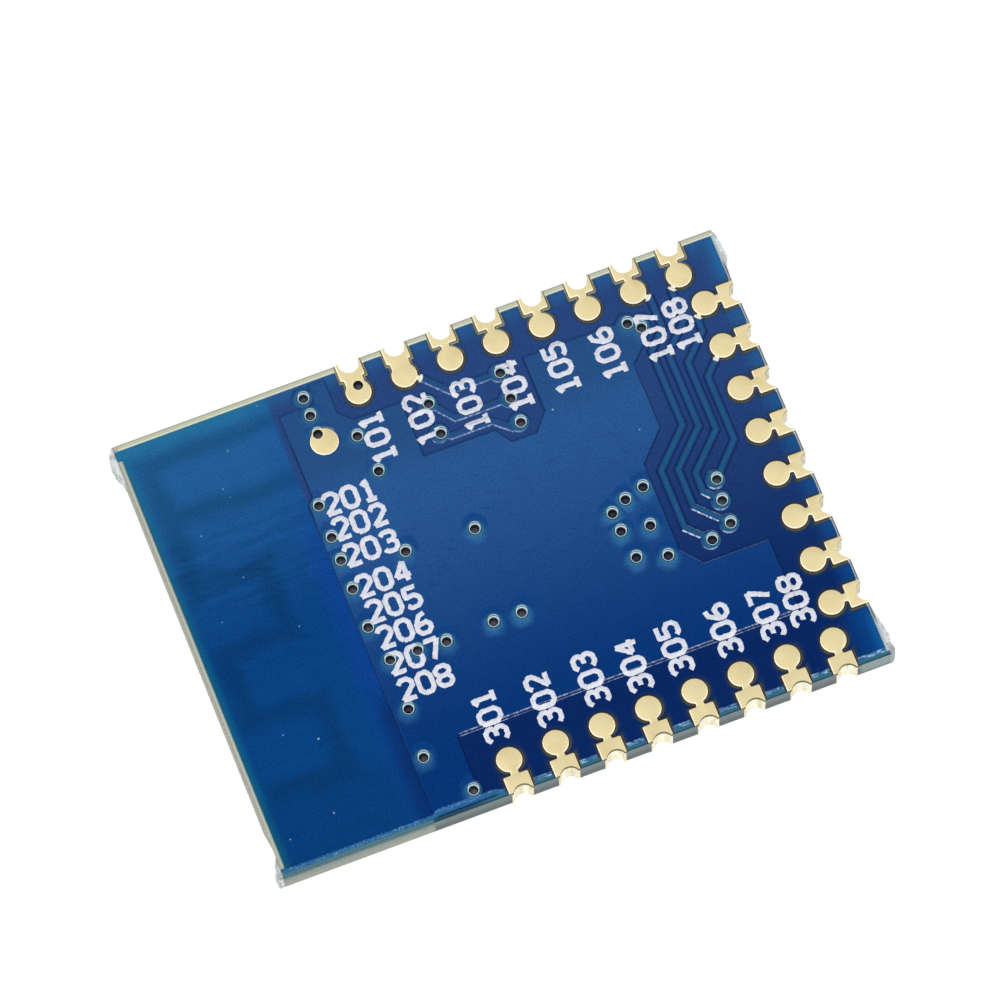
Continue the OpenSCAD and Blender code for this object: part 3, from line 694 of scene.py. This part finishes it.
def makeMask():
    piece = copyNode("solder_side_mask", "solder_mask_film", True, maskLook["merged"])
    for vertex in piece.data.vertices:
        if vertex.co.z > maskHigh.z - 2 * hair:
            vertex.co.z = copperFilmTop

    def onTop(edge, level):
        return all(abs(v.co.z - level) < hair for v in edge.verts) and sharp(edge)

    def atHole(edge):
        return viaWay(middleOf(edge)) < maskLook["hole"]

    def corner(edge):  # upright, at an opening, and with room beside it
        high, low = sorted(edge.verts, key=lambda v: -v.co.z)
        upright = abs(low.co.z - laminateTop) < hair and abs(high.co.z - bareMaskTop) < hair
        return upright and sharp(edge) and roomBeside(edge, 2.2 * maskLook["corner"])

    def lifted(edge):  # the notch keeps its edge
        inNotch = math.dist(middleOf(edge).xy, maskLook["notch"]) < maskLook["notchReach"]
        return onTop(edge, copperFilmTop) and not atHole(edge) and not inNotch

    def opening(edge):
        return onTop(edge, bareMaskTop) or onTop(edge, copperFilmTop) and atHole(edge)

    bevelEdges(piece, lifted, maskLook["flank"], 3)
    bevelEdges(piece, corner, maskLook["corner"], 3)
    bevelEdges(piece, opening, maskLook["rim"], 2)
    markFaces(piece)
    finishPiece(piece, [maskFinish()], "solder_mask", ["solder_side_mask"])
    return piece


maskPiece = makeMask()
print("solder mask:", len(maskPiece.data.polygons), "faces")


# gold pads at the edge, and the round test pad

padLook = {
    "rim": 0.028, "corner": 0.045,
    "tabReach": 0.4,  # the outer part of a tab, in from the board's edge
    # pale is a painted highlight on the rims
    "colours": {"gold": (224, 209, 161), "worn": (218, 200, 150), "pale": (248, 243, 226),
                "wall": (212, 202, 164), "shine": (240, 235, 212), "seam": (84, 71, 48)},
}
padTint = paints(padLook["colours"])


def goldFinish():
    finish, shader, where = newFinish("gold_plating", Metallic=0.1, Specular_IOR_Level=0.4)
    y, z = where.axes()[1:]
    cloud = where.grain(1.3, 3.0, 0.6)
    colour = cloud.ramp(0.35, 0.8).tint(padTint["gold"], padTint["worn"])
    scratch = where.stretched((9.0, 1.2, 1.0)).grain(2.2, 3.0, 0.7)
    line = (scratch - 0.5).size().ramp(0.012, 0.004) * cloud.ramp(0.54, 0.62)
    colour = colour.laid(padTint, seam=line * 0.22, pale=where.mark("lit"))
    flat = where.stretched((1, 1, 0))
    testX, testY, level = padPlan["testPad"]
    lower = flat.farFrom((testX + 0.012, testY + 0.03, level)).ramp(0.425, 0.445)
    lower = lower * flat.farFrom(padPlan["testPad"]).ramp(0.5, 0.48)
    colour = colour.laid(padTint, pale=lower)  # a painted highlight on the test pad's lower rim

    streaks = where.stretched((6.0, 6.0, 1.0)).grain(1.0, 3.0, 0.6)
    wall = streaks.ramp(0.35, 0.65).tint(padTint["wall"], padTint["shine"])
    lowRow = y.ramp(-6.8, -7.0)
    seam = (z - laminateTop + 0.08 + 0.04 * lowRow).ramp(0, 0.02)
    seam = seam * (0.85 + 0.15 * lowRow - 0.6 * y.ramp(6.8, 7.0))
    colour = where.mark("bore").tint(colour, wall.laid(padTint, seam=seam))
    pebble = where.grain(26.0, 3.0, 0.6)
    feed(shader, Base_Color=colour, Roughness=0.38 + 0.16 * pebble, Normal=pebble.bump(0.003, 0.4))
    return finish


goldPlating = goldFinish()


def bevelPad(piece):
    def through(face):  # a wall of the half hole
        levels = [v.co.z for v in face.verts]
        return abs(face.normal.z) < wallFace and min(levels) < boardLow.z and max(levels) > padTop - hair

    def corner(edge):  # upright, on the land's side of the tab
        high, low = sorted(edge.verts, key=lambda v: -v.co.z)
        standing = low.co.z > laminateTop - hair and high.co.z - low.co.z > 0.03
        inside = abs(low.co.y) < boardHigh.y - padLook["tabReach"] and low.co.x < endX - padLook["tabReach"]
        return standing and inside and sharp(edge) and roomBeside(edge, 1.4 * padLook["corner"])

    def rim(edge):  # not at the half hole, nor where a via's lining stands in the pad
        onTop = sharp(edge) and all(v.co.z > padTop - hair for v in edge.verts)
        atLining = abs(viaWay(middleOf(edge)) - padPlan["lining"]) < 0.006
        return onTop and not atLining and not any(through(face) for face in edge.link_faces)

    bevelEdges(piece, corner, padLook["corner"], 3)
    bevelEdges(piece, rim, padLook["rim"], 2)


def markPad(piece, low, high):  # which faces are in the half hole, and how the rims meet the light
    bores, rims = newMarks(piece, "FACE", "bore", "lit")
    atColumn = low.x + high.x > 2 * padPlan["column"]
    outward = Vector((1, 0, 0)) if atColumn else Vector((0, 1 if low.y > 0 else -1, 0))
    edge = endX if atColumn else boardHigh.y
    for face in piece.data.polygons:
        levels = [piece.data.vertices[i].co.z for i in face.vertices]
        upright = abs(face.normal.z) < wallFace
        inTab = edge - padLook["tabReach"] < face.center.dot(outward) < edge - 0.005
        lining = min(levels) < boardLow.z + 0.01 and max(levels) > padTop - 0.02
        arc = min(levels) > laminateTop - hair and face.normal.dot(outward) > 0.05 and inTab
        if upright and (lining or arc):
            bores[face.index].value = 1
        elif 0.1 < face.normal.z < 0.97 and min(levels) > laminateTop:
            turned = Vector(face.normal.xy).normalized().dot(pictureDown)
            rims[face.index].value = min(max(0.7 + 0.7 * turned, 0.0), 1.0)


for nodeName in sorted(nodes):
    if nodeName.startswith("pad_") or nodeName == "test_pad":
        padPiece = copyNode(nodeName, "plated_" + nodeName)
        bevelPad(padPiece)
        markPad(padPiece, *(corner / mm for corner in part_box(nodeName)))
        finishPiece(padPiece, [goldPlating], "gold_plate", [nodeName])
print("gold pads bevelled and plated")


# via linings

viaLook = {
    "rim": 0.014, "ring": 0.175,
    # inside, glint, through and gleam are painted light, and ring is both the lining's own colour and a
    # painted glint arc
    "colours": {"ring": (184, 204, 206), "film": (26, 78, 120), "inside": (108, 132, 146),
                "deep": (54, 60, 74), "glint": (200, 196, 206), "pit": (30, 26, 20),
                "through": (8, 12, 20), "gleam": (46, 48, 62)},
}
viaTint = paints(viaLook["colours"])
black = (0, 0, 0, 1)


def viaFinish():
    finish, shader, where = newFinish("via_plating", Roughness=0.45, Specular_IOR_Level=0.15)
    x, y, z = where.axes()
    flat = where.stretched((1, 1, 0))
    way = where.mark("fromHole", 1).stretched((1, 1, 0))
    gap = way.length()
    top = viaArcs(viaTint["film"], way, viaTint)
    top = top.laid(viaTint, ring=gap.ramp(viaLook["ring"] + 0.006, viaLook["ring"] - 0.006))
    inPad = where.mark("inPad")
    testGap = flat.farFrom(padPlan["testPad"]) - padPlan["testRadius"]
    onPad = padGap(x, y).least(testGap).ramp(0.01, -0.01)
    onPad = onPad.most(inPad * gap.ramp(viaLook["ring"] + 0.01, viaLook["ring"]))
    top = top.laid(padTint, gold=onPad)

    lit = way.farFrom((0.053, 0.14, 0))  # the side of the hole that shows
    glint = lit.ramp(0.08, 0.03) * z.band(padTop - 0.55, 0.04, 0.1)
    hole = glint.tint(viaTint["deep"], viaTint["glint"]).laid(viaTint, pit=inPad * 0.8)
    rim = onPad * z.ramp(padTop - 0.002, padTop - 0.008)
    outside = z.ramp(padTop - 0.05, padTop - 0.02) * (1 - rim)
    gleam = lit.ramp(0.16, 0.05) * z.band(padTop - 0.5, 0.1, 0.15)
    through = gleam.tint(viaTint["through"], viaTint["gleam"])
    shader.inputs["Emission Strength"].default_value = 1.0  # painted light, given off where light comes up through the open holes
    feed(shader, Base_Color=outside.tint(hole, top), Emission_Color=outside.tint(through, black))
    return finish


def makeVias():
    piece = copyNode("via_barrels", "via_linings")
    lands = (padPlan["testPad"][:2], (padPlan["first"], padPlan["row"]))
    padVias = [via for via in viaCentres if min(math.dist(via, land) for land in lands) < padPlan["land"]]

    def flush(edge):  # the outer edge of a lining that stands in a pad
        return any(abs(math.dist(middleOf(edge).xy, via) - padPlan["lining"]) < 0.05 for via in padVias)

    def rim(edge):
        return sharp(edge) and all(v.co.z > padTop - hair for v in edge.verts) and not flush(edge)

    bevelEdges(piece, rim, viaLook["rim"], 2)
    piece.data.attributes.new("fromHole", "FLOAT_VECTOR", "POINT")
    placed, = newMarks(piece, "POINT", "inPad")
    ways = piece.data.attributes["fromHole"].data
    for vertex in piece.data.vertices:
        via = min(viaCentres, key=lambda centre: math.dist(vertex.co.xy, centre))
        ways[vertex.index].vector = (vertex.co.x - via[0], vertex.co.y - via[1], 0)
        placed[vertex.index].value = 1 if via in padVias else 0
    finishPiece(piece, [viaFinish()], "gold_plate", ["via_barrels"])


makeVias()
print("via linings made")


# laminate

laminateLook = {
    "stubRough": 0.014, "stubCuts": 5,
    "colours": {
        "cream": (180, 184, 156), "line": (226, 231, 218), "outer": (148, 150, 142),
        "fringe": (82, 98, 88), "start": (172, 176, 161), "inner": (140, 160, 156),
        "shadow": (48, 44, 29), "olive": (92, 87, 62), "upperShadow": (114, 107, 74),
        "upperOlive": (158, 154, 122), "lowShade": (22, 38, 84), "highShade": (40, 72, 120),
        "edge": (166, 176, 182), "rim": (84, 92, 98), "split": (170, 184, 190),
        "teal": (38, 95, 116), "deepTeal": (24, 60, 76), "green": (68, 110, 120),
        "dullTeal": (72, 100, 108), "tealGrey": (98, 118, 119), "wallHigh": (126, 136, 131),
        "wallLow": (140, 143, 134), "padHigh": (102, 116, 118), "padLow": (88, 95, 96),
        "endWall": (132, 149, 147), "leftWall": (158, 156, 140), "torn": (208, 213, 214),
        "tornDark": (160, 164, 164), "tornLow": (150, 155, 158),
    },
}
laminateTint = paints(laminateLook["colours"])


def laminateFace(x, y, padSide):  # the upper face, which shows round the pads and beside the film
    look = laminateTint
    gap = padGap(x, y)
    clear = gap.ramp(0.03, 0.06)
    high = y.ramp(6.3, 6.8)
    shadow = high.tint(look["shadow"], look["upperShadow"])
    colour = gap.ramp(0.02, 0.07).tint(shadow, high.tint(look["olive"], look["upperOlive"]))
    thin = padLee(x, y, gap).ramp(0.2, -0.5) * gap.ramp(0.02, 0.045) * (1 - high)  # the film hangs over
    colour = (thin * 0.8).tint(colour, y.ramp(-5.8, 4.8).tint(look["lowShade"], look["highShade"]))

    # the end with the pad column, the upper side, the antenna's end and the lower side
    end = (x - maskHigh.x).ramp(0.03, 0.055).tint(look["edge"], look["rim"])
    end = end.laid(look, split=y.size().ramp(6.1, 6.5))
    colour = x.ramp(maskHigh.x - 0.02, maskHigh.x).tint(colour, end)
    upper = y.band(maskHigh.y + 0.03, 0.02, 0.03).tint(look["cream"], look["line"])
    upper = upper.laid(look, outer=y.ramp(boardHigh.y - 0.045, boardHigh.y - 0.03),
                       fringe=y.ramp(maskHigh.y + 0.035, maskHigh.y + 0.01) * 0.8)
    colour = (y.ramp(maskHigh.y - 0.02, maskHigh.y) * clear).tint(colour, upper)
    start = (x + endX).ramp(0.04, 0.055).tint(look["outer"], look["start"])
    start = start.laid(look, inner=(x + endX).ramp(0.1, 0.115))
    colour = x.ramp(maskLow.x + 0.15, maskLow.x + 0.13).tint(colour, start)
    strip = padSide.tint(look["green"], look["teal"])
    rim = padSide.tint(look["dullTeal"], look["deepTeal"])
    strip = y.ramp(boardLow.y + 0.06, boardLow.y + 0.02).tint(strip, rim)
    strip = strip.laid(look, deepTeal=padSide * x.ramp(-3.0, -3.8))  # in shade before the first pad
    return (y.ramp(maskLow.y + 0.02, maskLow.y) * clear).tint(colour, strip)


def laminateWall(x, y, z, padSide):
    look = laminateTint
    height = z.ramp(boardLow.z, boardHigh.z)
    colour = height.ramp(0.1, 0.75).tint(look["wallLow"], look["wallHigh"])
    colour = colour.laid(look, tealGrey=height.ramp(0.76, 0.94), dullTeal=height.ramp(0.9, 1.0))
    colour = padSide.tint(colour, height.ramp(0.25, 0.8).tint(look["padLow"], look["padHigh"]))
    foot = height.ramp(0.12, 0.04) * 0.6 * padSide
    return colour.laid(look, endWall=x.ramp(8.75, 8.95) * 0.75, padLow=foot, cream=y.ramp(-7.0, -6.0),
                       leftWall=x.ramp(-9.7, -9.75) * y.ramp(-7.4, -7.3))


def laminateFinish():
    finish, shader, where = newFinish("glass_laminate", Specular_IOR_Level=0.3)
    x, y, z = where.axes()
    padSide = x.ramp(antennaX, antennaX + 0.1)
    onFace = z.ramp(laminateTop - 0.05, laminateTop - 0.01)
    colour = onFace.tint(laminateWall(x, y, z, padSide), laminateFace(x, y, padSide))
    patch = where.stretched((3.0, 1.0, 1.0)).grain(2.0, 3.0, 0.6)
    shard = patch.ramp(0.35, 0.6).tint(laminateTint["tornDark"], laminateTint["torn"])
    shard = shard.laid(laminateTint, tornLow=y.ramp(-6.95, -7.3) * x.ramp(0, 1))
    colour = x.size().ramp(endX, endX + 0.03).tint(colour, shard)
    weave = where.stretched((1.0, 1.0, 16.0)).grain(2.4, 4.0, 0.65)
    fibre = where.stretched((14.0, 14.0, 1.5)).grain(1.2, 3.0, 0.7)
    colour = colour.shaded(0.8 + 0.25 * fibre + 0.15 * weave)
    feed(shader, Base_Color=colour, Roughness=0.55 + 0.3 * fibre, Normal=(weave + fibre).bump(0.02, 0.3))
    return finish


def makeLaminate():
    piece = copyNode("board", "laminate_board", False)
    for side in (-1, 1):
        editAll(piece)
        bpy.ops.mesh.bisect(plane_co=(side * (endX + 2 * hair), 0, 0), plane_no=(1, 0, 0))
        leaveEdit()
    pick(piece, "FACE", lambda face: abs(face.calc_center_median().x) > endX + 4 * hair)
    bpy.ops.mesh.quads_convert_to_tris()
    bpy.ops.mesh.subdivide(number_cuts=laminateLook["stubCuts"])
    leaveEdit()
    for vertex in piece.data.vertices:
        if abs(vertex.co.x) > endX + 0.02:
            for axis in range(3):
                vertex.co[axis] += chance.uniform(-1, 1) * laminateLook["stubRough"]
            for axis in range(3):
                vertex.co[axis] = min(max(vertex.co[axis], boardLow[axis]), boardHigh[axis])
    finishPiece(piece, [laminateFinish()], "laminate", ["board"])


makeLaminate()
print("laminate with torn stubs made")


# printed pin numbers

numberLook = {
    "stroke": 0.155, "wide": 0.42, "tall": 0.64, "pitch": 0.6,
    "ink": 0.0115, "fill": 0.85,  # half the ink's height, and how much of it is drawn
    "step": 0.04, "ragged": 0.09, "wander": 0.007,
    "clear": 0.13, "hole": 0.178,  # strokes stop this near to a via's middle, and no ink comes nearer
    "spread": 0.05,  # the ink lies on the highest film this far round
    "colour": (214, 216, 226), "thin": (192, 196, 207),
}
numberRows = {  # the first number, the way the text runs, and the middle of each number
    "upper_row_numbers": (101, 90, [(-2.15, 4.78), (-0.68, 4.85), (0.85, 4.75), (2.35, 4.85), (3.87, 4.85),
                                    (5.38, 4.78), (6.9, 4.78), (7.83, 4.85)]),
    "column_numbers": (201, 0, [(-3.62, y) for y in (3.27, 2.41, 1.49, 0.41, -0.47, -1.37, -2.27, -3.18)]),
    "lower_row_numbers": (301, 90, [(-2.2, -4.9), (-0.5, -5.0), (1.07, -4.9), (2.43, -4.97), (3.78, -4.9),
                                    (5.37, -4.9), (6.77, -4.88), (7.77, -4.8)]),
}
digitStrokes = {  # strokes on a box of width and height 1
    "0": [[(0.25, 0), (0, 0.2), (0, 0.8), (0.25, 1), (0.75, 1), (1, 0.8), (1, 0.2), (0.75, 0), (0.2, 0)]],
    "1": [[(0.12, 0.8), (0.5, 1), (0.5, 0)], [(0.1, 0), (0.9, 0)]],
    "2": [[(0, 0.8), (0.25, 1), (0.75, 1), (1, 0.8), (1, 0.62), (0, 0)], [(0, 0), (1, 0)]],
    "3": [[(0, 0.85), (0.25, 1), (0.75, 1), (1, 0.84), (1, 0.66), (0.78, 0.52), (0.35, 0.52)],
          [(0.78, 0.52), (1, 0.38), (1, 0.18), (0.75, 0), (0.25, 0), (0, 0.15)]],
    "4": [[(0.76, 0), (0.76, 1)], [(0.76, 1), (0, 0.3)], [(0, 0.3), (1.05, 0.3)]],
    "5": [[(0.95, 1), (0.08, 1), (0.04, 0.56), (0.7, 0.6), (1, 0.44), (1, 0.18), (0.75, 0), (0.22, 0),
           (0, 0.14)]],
    "6": [[(0.85, 1), (0.4, 0.92), (0.04, 0.5), (0, 0.2), (0.25, 0), (0.75, 0), (1, 0.18), (1, 0.38),
           (0.75, 0.54), (0.1, 0.44)]],
    "7": [[(0, 1), (1, 1)], [(1, 1), (0.35, 0)]],
    "8": [[(0.25, 0.52), (0, 0.68), (0, 0.84), (0.25, 1), (0.75, 1), (1, 0.84), (1, 0.68), (0.75, 0.52),
           (0.25, 0.52), (0, 0.36), (0, 0.18), (0.25, 0), (0.75, 0), (1, 0.18), (1, 0.36), (0.75, 0.52)]],
}


def inkFinish():
    finish, shader, where = newFinish("number_ink", Specular_IOR_Level=0.3)
    cloud = where.grain(6.0, 3.0, 0.6)
    colour = cloud.ramp(0.25, 0.7).tint(paint(*numberLook["thin"]), paint(*numberLook["colour"]))
    lumps = where.grain(18.0, 3.0)
    feed(shader, Base_Color=colour, Roughness=0.45 + 0.25 * cloud, Normal=lumps.bump(0.006, 0.5))
    return finish


def walk(points, step):  # points along a stroke, a step apart
    for start, end in zip(points, points[1:]):
        count = max(1, round((end - start).length / step))
        for i in range(count):
            yield start.lerp(end, i / count)
    yield points[-1]


def strokeRuns(points):  # a stroke in runs that stop at the via holes
    run = []
    for point in walk(points, numberLook["step"]):
        if viaWay(point) < numberLook["clear"]:
            if len(run) > 2:
                yield run
            run = []
        else:
            run.append(point)
    if len(run) > 2:
        yield run


def digitPaths(number, turn, middle):
    wide, tall = numberLook["wide"], numberLook["tall"]
    for place, digit in enumerate(str(number)):
        corner = Vector(((place - 1) * numberLook["pitch"] - wide / 2, -tall / 2, 0))
        for stroke in digitStrokes[digit]:
            points = [corner + Vector((u * wide, v * tall, 0)) for u, v in stroke]
            yield [turn @ point + Vector((*middle, 0)) for point in points]


def makeNumbers(pieceName, first, angle, middles, finish):
    data = bpy.data.curves.new(pieceName, "CURVE")
    data.dimensions = "3D"
    data.bevel_depth = numberLook["stroke"] / 2
    data.bevel_resolution = 1
    data.use_fill_caps = True
    turn = Matrix.Rotation(math.radians(angle), 3, "Z")
    for i, middle in enumerate(middles):
        for path in digitPaths(first + i, turn, middle):
            for run in strokeRuns(path):
                spline = data.splines.new("POLY")
                spline.points.add(len(run) - 1)
                for knot, point in zip(spline.points, run):
                    stray = Vector((chance.uniform(-1, 1), chance.uniform(-1, 1), 0)) * numberLook["wander"]
                    knot.co = (*(point + stray), 1)
                    knot.radius = 1 + chance.uniform(-1, 1) * numberLook["ragged"]
    piece = bpy.data.objects.new(pieceName, data)
    addToScene(piece)
    workOn(piece)
    bpy.ops.object.convert(target="MESH")
    piece = bpy.context.object
    editAll(piece)
    flat = 2 * numberLook["ink"] / numberLook["stroke"] * numberLook["fill"]
    bpy.ops.transform.resize(value=(1, 1, flat), center_override=(0, 0, 0))
    bpy.ops.mesh.normals_make_consistent(inside=False)
    leaveEdit()
    layInk(piece)
    finishPiece(piece, [finish])
    return piece


def layInk(piece):  # spreads the ink round the via holes and lifts it to the film under it
    near, hole = numberLook["spread"], numberLook["hole"]
    above, down = 3, Vector((0, 0, -1))  # the film is felt from above the module
    for vertex in piece.data.vertices:
        place = vertex.co
        for cx, cy in viaCentres:
            away = math.hypot(place.x - cx, place.y - cy)
            if hair < away < hole:
                place.x = cx + (place.x - cx) * hole / away
                place.y = cy + (place.y - cy) * hole / away
        heights = []
        for dx, dy in ((0, 0), (near, 0), (-near, 0), (0, near), (0, -near)):
            hit = filmTree.ray_cast(Vector((place.x + dx, place.y + dy, above)), down)[0]
            if hit and hit.z > bareMaskTop - 2 * hair:
                heights.append(hit.z)
        place.z = min(place.z + max(heights, default=copperFilmTop), maskHigh.z)


numberInk = inkFinish()
filmTree = treeOf(maskPiece.data, 1 / mm)
for pieceName, (first, angle, middles) in numberRows.items():
    madeNumbers = makeNumbers(pieceName, first, angle, middles, numberInk)
    print("numbers:", pieceName, len(madeNumbers.data.polygons), "faces")


# plain finishes of what is left

def plainFinish(name, colour, other, roughness, metallic=0.0, scale=3.0):
    finish, shader, where = newFinish(name, Metallic=metallic)
    cloud = where.grain(scale, 4.0, 0.6)
    feed(shader, Base_Color=cloud.ramp(0.3, 0.7).tint(paint(*colour), paint(*other)),
         Roughness=roughness - 0.06 + 0.12 * cloud, Normal=where.grain(24.0, 2.0).bump(0.004, 0.4))
    return finish


def underFinish(bare, covered):  # the film of the other side, lighter where copper lifts it
    finish, shader, where = newFinish("under_mask", Specular_IOR_Level=0.4)
    lifted = where.axes()[2].ramp(boardLow.z - 0.04, boardLow.z - 0.06)
    cloud = where.grain(2.0, 4.0, 0.6)
    feed(shader, Base_Color=lifted.tint(paint(*bare), paint(*covered)).shaded(0.8 + 0.4 * cloud),
         Roughness=0.26 + 0.12 * cloud, Normal=where.grain(24.0, 2.0).bump(0.004, 0.4))
    return finish


plainFinishes = {
    "copper": plainFinish("bare_copper", (184, 115, 70), (168, 98, 58), 0.4, 0.8),
    "solder_mask": underFinish((9, 48, 108), (20, 84, 142)),
    "solder": plainFinish("dull_solder", (176, 178, 180), (150, 152, 156), 0.35, 0.7),
    "chip_resin": plainFinish("moulded_resin", (38, 39, 42), (30, 31, 33), 0.6, 0.0, 9.0),
    "tin_plate": plainFinish("tin_plating", (190, 190, 188), (168, 168, 168), 0.35, 0.8),
    "crystal_ceramic": plainFinish("crystal_base", (152, 140, 112), (136, 124, 98), 0.6),
    "lid_metal": plainFinish("brushed_lid", (196, 194, 188), (176, 174, 168), 0.3, 0.85),
    "capacitor_ceramic": plainFinish("capacitor_body", (150, 118, 84), (136, 104, 72), 0.5),
    "inductor_ceramic": plainFinish("inductor_body", (132, 160, 168), (118, 146, 156), 0.45),
    "resistor_coat": plainFinish("resistor_body", (32, 36, 40), (24, 28, 30), 0.4),
}
slotOf = {entry["node"]: entry["material_slot"] for entry in frame["record"]["subparts"]}
goldEnds = plainFinish("trace_ends", (246, 238, 216), (238, 226, 196), 0.4, 0.1)
smallLook = {"kinds": ("capacitor", "inductor", "resistor"), "end": 0.25}


def makeSmallParts():  # bodies with metal ends
    tin = plainFinishes["tin_plate"]
    for nodeName in sorted(nodes):
        if nodeName.split("_")[0] in smallLook["kinds"]:
            piece = copyNode(nodeName, "placed_" + nodeName, False)
            low, high = (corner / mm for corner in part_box(nodeName))
            reach = (high.y - low.y) / 2 - smallLook["end"]
            finishPiece(piece, [plainFinishes[slotOf[nodeName]], tin], slotOf[nodeName], [nodeName])
            for face in piece.data.polygons:
                if abs(face.center.y / mm - (low.y + high.y) / 2) > reach - 2 * hair:
                    face.material_index = 1


makeSmallParts()
for nodeName, node in nodes.items():
    if not node.hide_render:
        finish = goldEnds if nodeName == "signal_traces" else plainFinishes[slotOf[nodeName]]
        node.data.materials.clear()
        node.data.materials.append(finish)
print("small parts and what is left painted")
